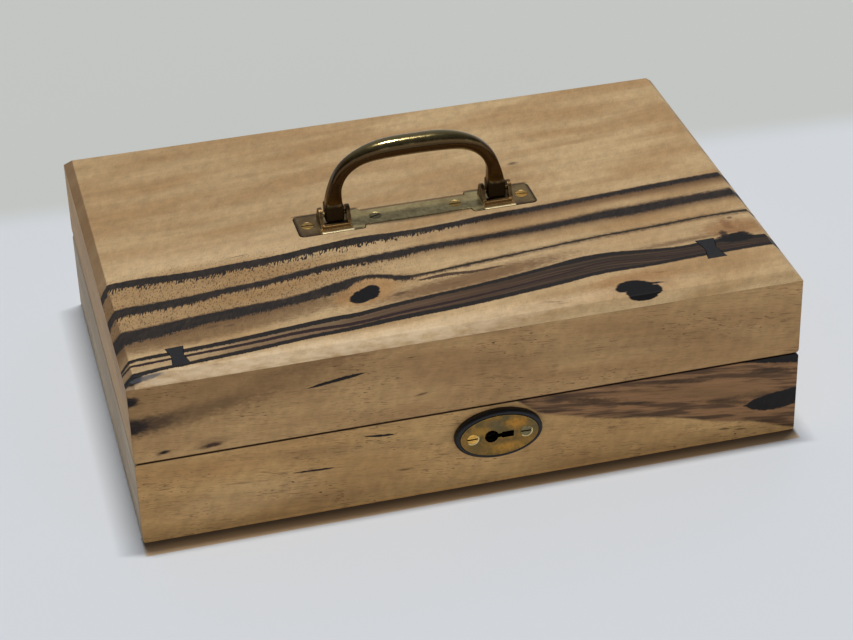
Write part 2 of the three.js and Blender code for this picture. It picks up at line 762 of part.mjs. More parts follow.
// An ear seen from the side: a wide base drawn up to a round top about the pin.
function earOutline() {
  const drop = pinZ - plateTop;
  const reach = Math.hypot(earBase / 2, drop);
  const lean = Math.atan2(-drop, earBase / 2) + Math.acos(earRadius / reach);
  const base = [-earBase / 2, earBase / 2].map((y) => [handleY + y, plateTop - plateThickness / 2]);
  const top = Array.from({ length: smallSides + 1 }, (_, k) => {
    const angle = lean + (Math.PI - 2 * lean) * k / smallSides;
    return [handleY + earRadius * Math.cos(angle), pinZ + earRadius * Math.sin(angle)];
  });
  return [...base, ...top].map(([y, z]) => new THREE.Vector2(y, z));
}

function handlePlate() {
  const inner = earSpacing / 2 - earThickness / 2;
  const outer = earSpacing / 2 + earThickness / 2;
  const clear = circle(handleY, pinZ, footRound + runningGap, roundSides);
  const ears = bearings.flatMap((x) => {
    const ledge = cut(
      box([x - inner - earThickness / 2, handleY - earBase / 2, plateTop - plateThickness / 2],
        [x + inner + earThickness / 2, handleY, caseHeight + ledgeHeight]),
      prism(clear, 'x', x - outer, x + outer),
    );
    const sides = [[x - outer, x - inner], [x + inner, x + outer]];
    return [ledge, ...sides.map(([from, to]) => prism(earOutline(), 'x', from, to))];
  });
  const base = prism(plateOutline(0), 'z', plateFloor, plateTop);
  const pins = bearings.map((x) => {
    const hole = circle(handleY, pinZ, pinRadius + glueLine, smallSides);
    return prism(hole, 'x', x - outer - overrun, x + outer + overrun);
  });
  const holes = handleScrewPlaces.map((place) => screwHole(handleScrew, place, Z, screwSides));
  piece('handle_plate', cut(joined(base, ...ears), ...pins, ...holes), castBrass, lid);

  const pin = circle(handleY, pinZ, pinRadius, smallSides);
  ['left', 'right'].forEach((side, i) => {
    const solid = prism(pin, 'x', bearings[i] - outer - pinProud, bearings[i] + outer + pinProud);
    piece(`handle_pin_${side}`, solid, castBrass, lid);
  });
  handleScrewPlaces.forEach((place, i) => {
    piece(`handle_screw_${i + 1}`, screw(handleScrew, place, Z, screwSides), brass, lid);
  });
  return [prism(plateOutline(fitGap), 'z', plateFloor - glueLine, caseHeight + overrun), ...holes];
}

// The bail's centreline is a squarish arch; its section is boxy at the feet and round at the grip.
const archPower = 3;
const footPower = 5;
const gripPower = 2.1;

function bailLoft() {
  const arch = Array.from({ length: archSteps + 1 }, (_, k) => {
    const angle = Math.PI * k / archSteps;
    const across = Math.sign(Math.cos(angle)) * Math.abs(Math.cos(angle)) ** (2 / archPower);
    const up = Math.sin(angle) ** (2 / archPower);
    return new THREE.Vector3(bailHalfWidth * across, 0, bailRise * up);
  });
  const lengths = arch.map((p, k) => (k === 0 ? 0 : p.distanceTo(arch[k - 1])));
  const run = [];
  lengths.reduce((sum, step, k) => { run[k] = sum + step; return run[k]; }, 0);
  const total = run[run.length - 1];
  const at = (share) => {
    const k = Math.max(1, run.findIndex((length) => length >= share * total));
    const part = (share * total - run[k - 1]) / (run[k] - run[k - 1]);
    return arch[k - 1].clone().lerp(arch[k], part);
  };
  const rings = [];
  const nudge = 1 / bailStations / 4;
  for (let i = 0; i <= bailStations; i += 1) {
    const share = i / bailStations;
    const nearEnd = Math.min(share, 1 - share) * 2;
    const here = at(share);
    const ahead = at(Math.min(1, share + nudge));
    const behind = at(Math.max(0, share - nudge));
    const along = ahead.sub(behind).normalize();
    const outward = new THREE.Vector3(along.z, 0, -along.x);
    const swell = THREE.MathUtils.smoothstep(nearEnd, swellStart, swellEnd);
    const taper = THREE.MathUtils.smoothstep(nearEnd, taperStart, taperEnd);
    const foot = THREE.MathUtils.lerp(footWidth / 2 - legSink, legRadius, taper);
    const deep = THREE.MathUtils.lerp(footDepth / 2 - legSink, legRadius, taper);
    const wide = THREE.MathUtils.lerp(foot, gripRadius, swell);
    const thick = THREE.MathUtils.lerp(deep, gripRadius, swell);
    const rounding = THREE.MathUtils.smoothstep(nearEnd, boxyShare, roundShare);
    const power = THREE.MathUtils.lerp(footPower, gripPower, rounding);
    const ring = Array.from({ length: bailSides }, (_, k) => {
      const angle = 2 * Math.PI * (k + 0.5) / bailSides;
      const [c, s] = [Math.cos(angle), Math.sin(angle)];
      const out = wide * Math.sign(c) * Math.abs(c) ** (2 / power);
      const side = thick * Math.sign(s) * Math.abs(s) ** (2 / power);
      return here.clone().addScaledVector(outward, out).addScaledVector(Y, side)
        .add(new THREE.Vector3(handleX, handleY, pinZ));
    });
    rings.push(ring);
  }
  return loft(rings);
}

// A foot seen from the side: round about the pin, with a square toe that stands on the ledge.
function footOutline() {
  const toe = Math.sqrt(footRound ** 2 - toeDrop ** 2);
  const start = Math.atan2(-toeDrop, -toe);
  const round = Array.from({ length: smallSides + 1 }, (_, k) => {
    const angle = start - start * k / smallSides;
    return [footRound * Math.cos(angle), footRound * Math.sin(angle)];
  });
  return [[-footRound, footTop], [-footRound, -toeDrop], ...round, [footRound, footTop]]
    .map(([y, z]) => new THREE.Vector2(handleY + y, pinZ + z));
}

function bail() {
  const feet = bearings.map((x) => prism(footOutline(), 'x', x - footWidth / 2, x + footWidth / 2));
  const bore = circle(handleY, pinZ, pinRadius + boreGap, smallSides);
  const bores = bearings.map((x) => prism(bore, 'x', x - footWidth, x + footWidth));
  piece('handle_bail', cut(joined(bailLoft(), ...feet), ...bores), bronze, handle);
}

// A butterfly key seen from above, grown on all sides.
function butterfly(x, y, key, grow) {
  const [width, waist, length] = [key.width / 2 + grow, keyWaist / 2 + grow, key.length / 2 + grow];
  const middle = new THREE.Vector2(x, y);
  return [[-width, -length], [width, -length], [waist, 0], [width, length], [-width, length], [-waist, 0]]
    .map(([px, py]) => new THREE.Vector2(x + px, y + py))
    .map((p) => p.rotateAround(middle, THREE.MathUtils.degToRad(key.turn)));
}

const keys = [
  ['butterfly_key_left', -halfWidth + leftKey.inset, -halfDepth + leftKey.fromFront, leftKey],
  ['butterfly_key_right', halfWidth - rightKey.inset, -halfDepth + rightKey.fromFront, rightKey],
];

function lidBoards(topHoles) {
  const envelope = lidEnvelope();
  const boards = mitredBoards(envelope, lidBottom, lidEdge - glueLine);
  piece('lid_front', cut(boards.front, linkPlateBlock(fitGap, overrun), ...linkHoles), wood, lid);
  piece('lid_back', cut(boards.back, ...hingeCuts(false)), wood, lid);
  piece('lid_left', boards.left, wood, lid);
  piece('lid_right', boards.right, wood, lid);

  const inside = wall + fitGap;
  const above = box([-halfWidth, -halfDepth, lidEdge], [halfWidth, halfDepth, caseHeight]);
  const slab = envelope.intersect(above);
  const field = box(
    [-halfWidth + inside, -halfDepth + inside, lidEdge - fieldDepth],
    [halfWidth - inside, halfDepth - inside, caseHeight - topChamfer / 2],
  );
  const pockets = keys.map(([, x, y, key]) => (
    prism(butterfly(x, y, key, glueLine), 'z', caseHeight - keyDepth - glueLine, caseHeight + overrun)
  ));
  piece('lid_top', cut(joined(slab, field), ...pockets, ...topHoles), wood, lid);
  keys.forEach(([name, x, y, key]) => {
    piece(name, prism(butterfly(x, y, key, 0), 'z', caseHeight - keyDepth, caseHeight), ebony, lid);
  });
}

body(escutcheon());
lidBoards(handlePlate());
bail();
linkPlate();
lock();
hinges.forEach(hinge);

export default chest;
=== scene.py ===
"""A small lidded chest of streaked hardwood with a folding brass handle, dressed for rendering.

Lengths are millimetres in the chest's own frame until a mesh is made: X along the front, Y to
the back, Z up, with the origin at the middle of the underside. Colours are sRGB, 0 to 255.
"""

import json
import math

import bmesh
import bpy
from mathutils import Euler, Matrix, Vector

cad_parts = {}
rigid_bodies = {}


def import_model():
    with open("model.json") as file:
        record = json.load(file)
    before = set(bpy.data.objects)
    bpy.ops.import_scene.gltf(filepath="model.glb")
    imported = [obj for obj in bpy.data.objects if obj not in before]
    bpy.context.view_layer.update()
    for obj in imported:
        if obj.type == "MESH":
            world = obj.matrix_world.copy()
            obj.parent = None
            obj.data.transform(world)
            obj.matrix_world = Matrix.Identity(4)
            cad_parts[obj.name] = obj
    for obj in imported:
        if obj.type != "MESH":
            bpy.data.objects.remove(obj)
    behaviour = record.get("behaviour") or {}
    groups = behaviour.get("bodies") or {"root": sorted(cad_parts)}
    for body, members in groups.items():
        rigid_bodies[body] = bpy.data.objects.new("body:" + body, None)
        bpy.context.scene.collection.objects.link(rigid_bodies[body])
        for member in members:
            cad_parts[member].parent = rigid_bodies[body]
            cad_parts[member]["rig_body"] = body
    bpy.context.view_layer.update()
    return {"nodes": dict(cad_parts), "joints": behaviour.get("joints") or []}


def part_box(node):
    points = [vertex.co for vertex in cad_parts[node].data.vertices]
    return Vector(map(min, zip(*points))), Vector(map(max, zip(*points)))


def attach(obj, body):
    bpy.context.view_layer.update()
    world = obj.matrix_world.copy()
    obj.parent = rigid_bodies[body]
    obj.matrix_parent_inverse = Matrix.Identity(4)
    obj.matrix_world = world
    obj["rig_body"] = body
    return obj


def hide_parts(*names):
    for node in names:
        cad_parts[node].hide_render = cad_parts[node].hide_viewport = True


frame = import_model()
nodes = frame["nodes"]

MM = 0.001
TURN = 2 * math.pi


def corners(node):
    """The lowest and highest corner of a CAD node, in millimetres."""
    low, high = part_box(node)
    return low / MM, high / MM


def middle(node):
    low, high = corners(node)
    return (low + high) / 2


def half_size(node):
    """Half the size of a CAD node along X, Y and Z, in millimetres."""
    return [(high - low) / 2 for low, high in zip(*corners(node))]


def joint_place(name):
    return next(Vector(joint["pos_m"]) / MM for joint in frame["joints"] if joint["name"] == name)


def add_object(name, data):
    made = bpy.data.objects.new(name, data)
    bpy.context.scene.collection.objects.link(made)
    return made


# Places from the frame
HALF_WIDTH, HALF_DEPTH, LID_TOP = corners("lid_top")[1]
SEAM = (corners("lid_front")[0].z + corners("body_front")[1].z) / 2
PLATE_LOW, PLATE_HIGH = corners("handle_plate")
PLATE_REACH, PLATE_HALF_DEPTH, _ = half_size("handle_plate")
OVAL_LOW, OVAL_HIGH = corners("escutcheon_plate")
OVAL_MIDDLE = middle("escutcheon_plate")
BOSS_LOW, BOSS_HIGH = corners("escutcheon_boss")
PIN = joint_place("handle_fold")

# Camera
LENS = 100.74
CAMERA_PLACE = (-220.2, -932.9, 628.0)
CAMERA_TURN = (57.794, 1.595, -14.505)
NEAREST_SEEN = 10


def add_camera():
    data = bpy.data.cameras.new("camera")
    data.lens = LENS
    data.clip_start = NEAREST_SEEN * MM
    camera = add_object("camera", data)
    camera.location = Vector(CAMERA_PLACE) * MM
    camera.rotation_euler = Euler([math.radians(angle) for angle in CAMERA_TURN])
    bpy.context.scene.camera = camera


# Shader nodes
def paint(red, green, blue):
    """An sRGB colour as the linear one that sockets hold."""
    def linear(c):
        c /= 255
        return c / 12.92 if c <= 0.04045 else ((c + 0.055) / 1.055) ** 2.4
    return (linear(red), linear(green), linear(blue), 1)


def arithmetic(operation):
    def reckon(field, *others):
        return field.graph.math(operation, field, *others)
    return reckon


class Field:
    """A number that varies over a surface. Arithmetic on it adds math nodes."""

    def __init__(self, graph, socket):
        self.graph = graph
        self.socket = socket

    __add__ = __radd__ = arithmetic("ADD")
    __sub__ = arithmetic("SUBTRACT")
    __mul__ = arithmetic("MULTIPLY")
    __truediv__ = arithmetic("DIVIDE")
    __abs__ = arithmetic("ABSOLUTE")

    def __rsub__(self, other):
        return self.graph.math("SUBTRACT", other, self)

    def step(self, low, high):
        """0 at low and 1 at high, with an easy run between them."""
        return self.graph.spread(self, low, high, 0, 1, "SMOOTHSTEP")


class Graph:
    """The nodes of a material or world. A colour goes in as three sRGB numbers or a socket."""

    def __init__(self, owner, shader="Principled BSDF"):
        owner.use_nodes = True
        self.owner = owner
        self.tree = owner.node_tree
        self.shader = self.tree.nodes[shader]

    def feed(self, socket, value):
        if isinstance(value, Field):
            value = value.socket
        if isinstance(value, bpy.types.NodeSocket):
            self.tree.links.new(value, socket)
        elif isinstance(value, tuple):
            socket.default_value = paint(*value)
        else:
            socket.default_value = value

    def node(self, kind, inputs, **settings):
        made = self.tree.nodes.new(kind)
        for name, value in settings.items():
            setattr(made, name, value)
        for key, value in inputs.items():
            self.feed(made.inputs[key], value)
        return made

    def math(self, operation, *values):
        made = self.node("ShaderNodeMath", dict(enumerate(values)), operation=operation)
        return Field(self, made.outputs[0])

    def distance(self, first, second):
        """How far a point is from a middle, from its distances along two axes."""
        return self.math("SQRT", first * first + second * second)

    def spread(self, value, low, high, new_low, new_high, interpolation="LINEAR"):
        inputs = {0: value, 1: low, 2: high, 3: new_low, 4: new_high}
        made = self.node("ShaderNodeMapRange", inputs, interpolation_type=interpolation)
        return Field(self, made.outputs[0])

    def coordinates(self, kind):
        source = self.tree.nodes.new("ShaderNodeTexCoord")
        split = self.node("ShaderNodeSeparateXYZ", {0: source.outputs[kind]})
        return [Field(self, axis) for axis in split.outputs]

    def place(self):
        """Object coordinates in millimetres, as three fields."""
        return [axis / MM for axis in self.coordinates("Object")]

    def noise(self, sizes, fields, detail=2.0, roughness=0.5, seed=0.0):
        """Noise from 0 to 1 whose lumps are about as long as the sizes along the fields."""
        vector = self.tree.nodes.new("ShaderNodeCombineXYZ")
        for socket, field, size in zip(vector.inputs, fields, sizes):
            self.feed(socket, field / size)
        inputs = {"Vector": vector.outputs[0], "W": seed, "Scale": 1}
        inputs.update({"Detail": detail, "Roughness": roughness})
        made = self.node("ShaderNodeTexNoise", inputs, noise_dimensions="4D")
        return Field(self, made.outputs["Fac"])

    def curve(self, value, points):
        """A smooth line through given points, with both axes from -REACH to REACH."""
        low, span = -REACH, 2 * REACH
        made = self.node("ShaderNodeFloatCurve", {"Value": (value - low) / span})
        line = made.mapping.curves[0]
        places = [((x - low) / span, (y - low) / span) for x, y in points]
        while len(line.points) < len(places):
            line.points.new(0.5, 0.5)
        for point, place in zip(line.points, places):
            point.location = place
        made.mapping.update()
        return Field(self, made.outputs[0]) * span + low

    def mix(self, share, first, second, mode="MIX"):
        inputs = {0: share, 6: first, 7: second}
        return self.node("ShaderNodeMix", inputs, data_type="RGBA", blend_type=mode).outputs[2]

    def layers(self, colour, *coats):
        """The colour under coats of others, each given by its share and its own colour."""
        for share, coat in coats:
            colour = self.mix(share, colour, coat)
        return colour

    def finish(self, colour, roughness, bump=None, height=0, **settings):
        """Feeds the shader. height is how far the bump stands out, and settings have the names of
        the shader's sockets, with _ for a space."""
        self.feed(self.shader.inputs["Base Color"], colour)
        self.feed(self.shader.inputs["Roughness"], roughness)
        for name, value in settings.items():
            self.shader.inputs[name.replace("_", " ")].default_value = value
        if bump is not None:
            relief = self.node("ShaderNodeBump", {"Strength": 1, "Distance": height * MM, "Height": bump})
            self.feed(self.shader.inputs["Normal"], relief.outputs[0])
        return self.owner


def new_graph(name):
    return Graph(bpy.data.materials.new(name))


# Wood colours
PALE = (186, 159, 119)
GOLDEN = (166, 135, 95)
FRONT_PALE = (195, 156, 106)
FRONT_GOLDEN = (176, 137, 91)
BODY_PALE = (205, 164, 108)
BODY_GOLDEN = (187, 146, 94)
END_PALE = (186, 166, 138)
END_GOLDEN = (168, 146, 118)
INK = (31, 28, 27)
BROWN_INK = (76, 58, 43)
PLUM_INK = (44, 30, 31)
HALO_COLOUR = (96, 70, 46)
THIN_INK = (80, 65, 52)
STAIN_DARK = (32, 26, 26)
STAIN_LIGHT = (94, 70, 56)
ZONE_PALE = (152, 112, 76)
ZONE_BROWN = (90, 65, 48)
ZONE_DARK = (62, 46, 36)
PORE_COLOUR = (112, 84, 56)
DASH_COLOUR = (104, 72, 46)
DOT_COLOUR = (74, 50, 34)
FLECK_COLOUR = (82, 60, 38)
# The colour of a painted sheen along the front of the top
PAINTED_SHEEN_COLOUR = (230, 208, 176)
# The left chamfer's colour: darker for its end grain and as painted shade
LEFT_CHAMFER_SHADE = (104, 76, 48)
KNOT_COLOUR = (13, 13, 16)
# Painted shade along the back edges of the handle plate
PLATE_EDGE_SHADE = (74, 54, 36)
SEAM_COLOUR = (34, 20, 13)
# Painted shade in holes
BORE_SHADE = (9, 8, 7)
METAL_GRIME = (46, 38, 26)

# The curves below run over the board from -REACH to REACH.
REACH = 160
# A streak is a dark band between an upper and a lower edge, given as (along, upper, lower).
# soft is how far its two edges fade, comb is how far teeth hang from the lower edge, and halo is
# the depth and strength of the brown stain below it and where along the board that sets in. A
# span says where the streak starts and ends, and taper over what length it narrows there.
# Streaks with a comb above COMBED are wider and more worn by the grain.
COMBED = 1
TOP_STREAKS = [
    dict(soft=(1.2, 1.9), comb=5.6, halo=(9, 0.95, 5, 40), line=[
        (-150, -27, -32), (-146.5, -23.2, -27), (-140, -22, -26), (-130, -21.6, -26),
        (-108, -22.3, -27), (-90, -21, -25.6), (-70, -19.6, -24), (-50, -16.6, -20.8),
        (-30, -14.4, -19.4), (-10, -15.1, -18.5), (10, -14.3, -17.6), (30, -12.1, -15.9),
        (60, -10.9, -14.2), (90, -8.9, -11.8), (120, -6.8, -10.1), (150, -5.2, -8.6)]),
    dict(soft=(2.8, 2.8), comb=3.4, halo=(7, 0.7, -60, 20), line=[
        (-150, -48, -54), (-146.5, -45.4, -51), (-130, -43.7, -49.2), (-110, -42.3, -47.4),
        (-98, -40.6, -44.4), (-80, -39.2, -42.6), (-60, -35.4, -39.2), (-45, -33.3, -36.8),
        (-20, -31.5, -36.6), (-5, -30.2, -34.4), (20, -29.5, -33.4), (50, -28, -32.7),
        (66, -26.7, -31.6), (80, -24.9, -30.9), (95, -24, -31), (120, -22.5, -28.9),
        (150, -21.4, -27.9)]),
    dict(soft=(2.8, 3.6), comb=1.6, halo=(8, 0.7, -20, -80), line=[
        (-150, -64.4, -74), (-140, -63.2, -72), (-130, -62, -70.4), (-110, -59.5, -66.6),
        (-90, -57.8, -64.6), (-70, -56.2, -61.6), (-56, -52.8, -59.4), (-46, -49.8, -56.3),
        (-36, -48, -50.4), (-28, -49.5, -51.8), (-20, -52.5, -56.2), (-12, -53.8, -55.2),
        (10, -51.3, -53), (40, -48.4, -49.8), (70, -45.5, -46.9), (100, -43.9, -45.4),
        (130, -42.1, -43.5), (150, -42.3, -44.2)]),
    dict(soft=(0.5, 0.6), comb=0.3, span=(-18, 300), taper=10, ink=(44, 39, 29), line=[
        (-150, -53.9, -55), (-12, -53.6, -54.9), (10, -51.4, -52.9), (40, -48.5, -49.8),
        (70, -45.6, -46.9), (100, -44, -45.4), (130, -42.2, -43.5), (150, -42.3, -44.2)]),
    dict(soft=(0.8, 0.9), comb=1.2, span=(-16, 28), taper=12, strength=0.85, ink=BROWN_INK, line=[
        (-150, -58, -59), (-12, -58, -59.2), (0, -56.8, -58.4), (12, -58, -59.3),
        (25, -57.3, -58.2), (150, -57, -58)]),
    dict(soft=(0.8, 1.4), comb=0.5, line=[
        (-150, -88, -90.2), (-146, -86.4, -88.6), (-125, -84.2, -87), (-100, -82.2, -85.3),
        (-75, -79.3, -82.7), (-55, -77.4, -80.8), (-45, -77, -80.2), (-33, -75, -78),
        (-15, -72.6, -75.4), (5, -70.3, -73), (25, -67.3, -70.4), (45, -63.8, -67),
        (58, -61.2, -65.6), (72, -60.6, -64.4), (88, -62.8, -65.9), (105, -64.8, -67.4),
        (122, -63.8, -67.4), (150, -66.2, -69.6)]),
    dict(soft=(0.6, 0.6), comb=0.3, ink=PLUM_INK, line=[
        (-150, -90.6, -92.2), (-120, -88.4, -90.2), (-95, -86.7, -88.8), (-70, -84.2, -86.6),
        (-50, -84.2, -86.6), (-40, -83.4, -85.6), (-28, -81.6, -83.8), (0, -79, -81),
        (30, -75, -76.6), (50, -71.5, -73), (68, -67.7, -69.1), (90, -70.3, -71.6),
        (150, -71.2, -72.4)]),
    dict(soft=(1.3, 0.8), comb=0.4, line=[
        (-150, -97.5, -102), (-138, -95.6, -98.2), (-120, -93.9, -96.4), (-95, -91.5, -94.4),
        (-70, -88.9, -91.6), (-50, -87.4, -90.4), (-30, -85, -88.4), (0, -82.8, -86.2),
        (25, -80, -83.4), (45, -77.4, -80.8), (65, -74.5, -77.6), (90, -74.4, -77.4),
        (110, -73.4, -76.2), (150, -72.2, -75.4)]),
]

# A band of stained wood fills the room between the first and the last of these streaks, with
# the share of stain along the board.
STAIN_STREAKS = (5, 7)
STAIN = [(-150, 0.12), (-110, 0.3), (-90, 0.62), (-60, 0.72), (-40, 0.88), (0, 0.93), (40, 0.95), (150, 0.97)]
STAIN_LEFT = (84, 61, 46)
STAIN_RIGHT = (38, 29, 26)

# Spots: middle, half length, half width, turn in degrees, fade, strength and colour
TOP_SPOTS = [
    ((-105, 70), 80, 46, 6, 60, 0.3, (146, 116, 80)),
    ((-95, -9), 66, 11, 4, 14, 0.45, (206, 180, 142)),
    ((-60, 22), 100, 26, 4, 30, 0.2, (150, 122, 88)),
    ((-118, -44), 70, 22, 4, 14, 0.6, (146, 114, 74)),
    ((60, -16.5), 90, 4, 5, 5, 0.35, (148, 114, 80)),
    ((70, -36), 80, 5, 4, 5, 0.3, (156, 122, 80)),
    ((-100, -71.5), 62, 6.5, 8, 6, 0.8, (118, 92, 62)),
    ((90, -55), 80, 9, 4, 8, 0.4, (188, 160, 122)),
    ((8, -64.8), 46, 5.4, 9, 5.5, 0.9, (116, 88, 60)),
    ((134, -56), 14, 7, 0, 7, 0.6, (134, 92, 54)),
    ((132.5, -52), 2.2, 6, 8, 3, 0.5, (112, 72, 42)),
    ((105, -61.2), 21, 1.8, 4, 3, 0.65, (92, 66, 44)),
    ((136, -47.4), 1.2, 1.0, 0, 1, 0.7, (84, 60, 40)),
    ((-86.5, -15), 4.2, 0.4, 6, 0.7, 0.7, (112, 92, 66)),
    ((-33, -11.5), 6, 0.7, 8, 1.8, 0.5, (126, 98, 66)),
    ((56, 31.9), 2.6, 1.1, 12, 1.4, 0.85, (98, 82, 64)),
    ((92, 44), 16, 1.6, 6, 2.5, 0.3, (142, 112, 76)),
    ((-24, -67.5), 3.8, 1.0, 12, 1.6, 0.75, (74, 54, 40)),
    ((0.5, -66), 4.2, 0.6, 8, 1.2, 0.6, (88, 64, 46)),
    ((-107, -70), 3.0, 0.7, 8, 1.4, 0.7, (84, 66, 48)),
    ((-100, -71.4), 2.0, 0.8, 8, 1.2, 0.7, (78, 62, 46)),
    ((90, -83.5), 2.6, 0.5, -8, 1.2, 0.7, (112, 80, 50)),
    ((77, -90), 20, 10, 2, 9, 0.6, (150, 106, 62)),
    ((-38, -61), 15, 10, 24, 7, 0.6, (166, 122, 72)),
    # These two pale spots along the front edge are painted sheen
    ((-40, -99), 120, 6, 3, 5, 0.6, (212, 186, 150)),
    ((90, -99), 60, 5, 0, 6, 0.3, (196, 166, 124)),
    ((38, -93.6), 3.4, 0.35, -14, 0.9, 0.6, (120, 90, 58)),
    ((41.5, -95.8), 2.4, 0.3, -8, 0.8, 0.6, (120, 90, 58)),
]
# Dark patches drawn over the streaks, a bluish painted reflection at the front left corner, and a pale mark
# in a knot
TOP_PATCHES = [
    ((132.5, -65), 8.5, 3.8, -4, 1.4, 1.0, (22, 21, 22)),
    ((134.5, -62.6), 4.6, 1.9, 4, 1.2, 1.0, (22, 21, 22)),
    ((128.5, -60.4), 1.7, 2.8, 10, 1.6, 0.85, (40, 30, 26)),
    ((137.5, -62.4), 1.0, 1.8, 0, 1.2, 0.8, (40, 32, 28)),
    ((-147.5, -101.5), 5.5, 4.4, 24, 1.6, 0.95, (26, 25, 27)),
    # A bluish painted reflection on the dark front left corner
    ((-140.5, -101.2), 6.4, 1.7, 14, 1.6, 0.8, (78, 84, 94)),
]
KNOT_PALE_MARK = ((85.4, -92.7), 1.7, 0.4, -14, 0.6, 0.7, (176, 146, 116))
# The knots are made of overlapping ellipses: middle, half length, half width and turn.
TOP_KNOTS = [
    ((-41, -65.8), 5.4, 4.2, 20), ((-37, -63.2), 5.6, 4.8, 52), ((-34.8, -60.0), 3.5, 3.3, 0),
    ((-41.4, -62.2), 2.4, 2.0, 30),
    ((75.4, -91.4), 7.8, 4.7, -6), ((78.4, -96.6), 8.3, 6.0, 6), ((77.4, -100.6), 6.4, 3.6, 0),
    ((70.4, -92.6), 3.9, 2.6, 0), ((85.0, -91.3), 3.4, 0.65, -10), ((82.4, -92.6), 3.9, 2.6, -20),
]
# Where the grain swirls and how widely. STRETCH is the square of a swirl's length over its width,
# and CORE and STRENGTH are how blunt its middle is and how far it bends the grain.
KNOT_MIDDLES = [((-38, -62.6), 8.5), ((77.5, -96), 11)]
SWIRL_STRETCH = 2.4
SWIRL_CORE = 0.35
SWIRL_STRENGTH = 0.9
# The zone with short dark flecks: middle, half length, half width, turn and fade
FLECKED = ((-112, -46), 92, 27, 5, 22)
# Where the front chamfer starts along Y, and how much faster the figure runs there
CHAMFER_START = -98.75
CHAMFER_STRETCH = 1.545

LID_FRONT_STREAKS = [
    dict(soft=(0.5, 0.7), comb=0.3, span=(-77, -45), taper=9, line=[
        (-150, 66.4, 65), (-76, 66.2, 65.4), (-66, 67.8, 66.3), (-55, 69.2, 67.7),
        (-46, 69.6, 68.9), (150, 70, 69.4)]),
]
LID_FRONT_SPOTS = [
    ((-120, 71), 70, 13, 4, 14, 0.6, (146, 110, 70)),
    ((-132, 61.5), 34, 4.2, 9, 5, 0.5, (92, 70, 48)),
    ((-146, 61), 16, 4.0, 6, 4, 0.7, (60, 46, 38)),
    ((-96, 70), 34, 4.2, 10, 5, 0.32, (120, 90, 58)),
    ((-66, 78.4), 26, 2.2, 7, 4, 0.34, (110, 82, 54)),
    ((60, 62), 70, 4, -2, 5, 0.22, (128, 96, 62)),
    ((-150, 73.4), 5, 2.4, 2, 2.2, 1.0, (34, 26, 26)),
    ((-151, 60.5), 9, 3.6, 4, 2.6, 0.9, (36, 28, 28)),
    ((-137, 45.6), 2.8, 0.8, 8, 1.0, 1.0, (34, 25, 30)),
    ((-116.5, 45.4), 4.2, 1.1, 5, 1.2, 1.0, (32, 23, 28)),
    ((-116, 46.6), 7, 2.2, 5, 2.4, 0.4, (104, 76, 52)),
    ((-24, 53.4), 2.6, 0.4, 6, 0.8, 0.75, (66, 46, 36)),
    ((-28, 73), 1.4, 0.3, 0, 0.5, 0.7, (70, 48, 36)),
]
# The lower border of the stained zone on the body's front
BODY_FRONT_ZONE = [
    (-150, 46), (10, 43.5), (18, 41.4), (25, 36), (30, 32.6), (40, 29.6), (50, 26.6), (60, 24), (80, 20.4),
    (100, 15.6), (110, 12.2), (120, 10.4), (130, 8.2), (140, 4.4), (150, 1.2),
]
BODY_FRONT_STREAKS = [
    dict(soft=(0.5, 0.5), comb=0.2, span=(-84, -62), taper=6, ink=PLUM_INK, line=[
        (-150, 24, 23.4), (-82, 23.9, 23.2), (-74, 23.6, 22.6), (-64, 23.2, 22.4), (150, 22, 21)]),
    dict(soft=(0.5, 0.5), comb=0.2, span=(-51, -35), taper=4, line=[
        (-150, 37, 36), (-50, 36.6, 35.8), (-42, 35.9, 34.7), (-36, 35.4, 34.7), (150, 35, 34)]),
    dict(soft=(0.5, 1.6), comb=0.6, line=[
        (-150, 46, 45), (118, 45, 42.5), (123, 44, 41.3), (130, 44, 40), (140, 44, 38.2),
        (150, 44, 36.6)]),
    dict(soft=(1.4, 1.4), comb=0.8, span=(123, 200), taper=6, line=[
        (-150, 20, 19), (116, 19, 18), (126, 19, 16.4), (130, 20.6, 14.6), (138, 22.2, 13.2),
        (150, 23.6, 14.6)]),
]
BODY_FRONT_SPOTS = [
    # A painted highlight along the bottom edge
    ((0, 0.2), 170, 1.5, 0, 1.0, 0.5, (234, 178, 108)),
    ((-110, 34), 50, 6, 4, 8, 0.3, (176, 128, 78)),
    ((-105, 15), 30, 8, 4, 8, 0.25, (236, 200, 148)),
    ((116, 7), 2.6, 0.4, -5, 0.6, 0.8, (58, 42, 34)),
    ((124, 5.4), 2.6, 0.4, -5, 0.6, 0.8, (58, 42, 34)),
    ((-33, 15.3), 2.8, 0.45, -4, 0.8, 0.8, (62, 44, 36)),
    ((-105, 23), 6, 0.4, -5, 0.8, 0.4, (84, 62, 46)),
    ((-60, 8), 40, 2.4, -3, 4, 0.25, (120, 92, 62)),
    ((-60, 31), 44, 3, -6, 4, 0.22, (120, 92, 62)),
]
# Spots inside the stained zone of the body's front
ZONE_SPOTS = [
    ((114, 28), 22, 3.4, -10, 3, 0.75, (150, 112, 74)),
    ((84, 33.5), 16, 2.2, -9, 3, 0.5, (128, 94, 62)),
    ((138, 34.6), 10, 1.5, -8, 2, 0.8, (40, 30, 25)),
    ((55, 34.2), 10, 1.2, -8, 1.8, 0.75, (42, 31, 25)),
    ((72.5, 29.5), 8, 0.8, -8, 1.2, 0.75, (44, 33, 26)),
    ((92, 37.5), 15, 1.2, -6, 1.8, 0.65, (44, 33, 26)),
    ((117, 21.5), 12, 1.2, -12, 1.6, 0.7, (42, 31, 25)),
    ((40, 38.5), 14, 1.4, -10, 2, 0.6, (46, 34, 27)),
]


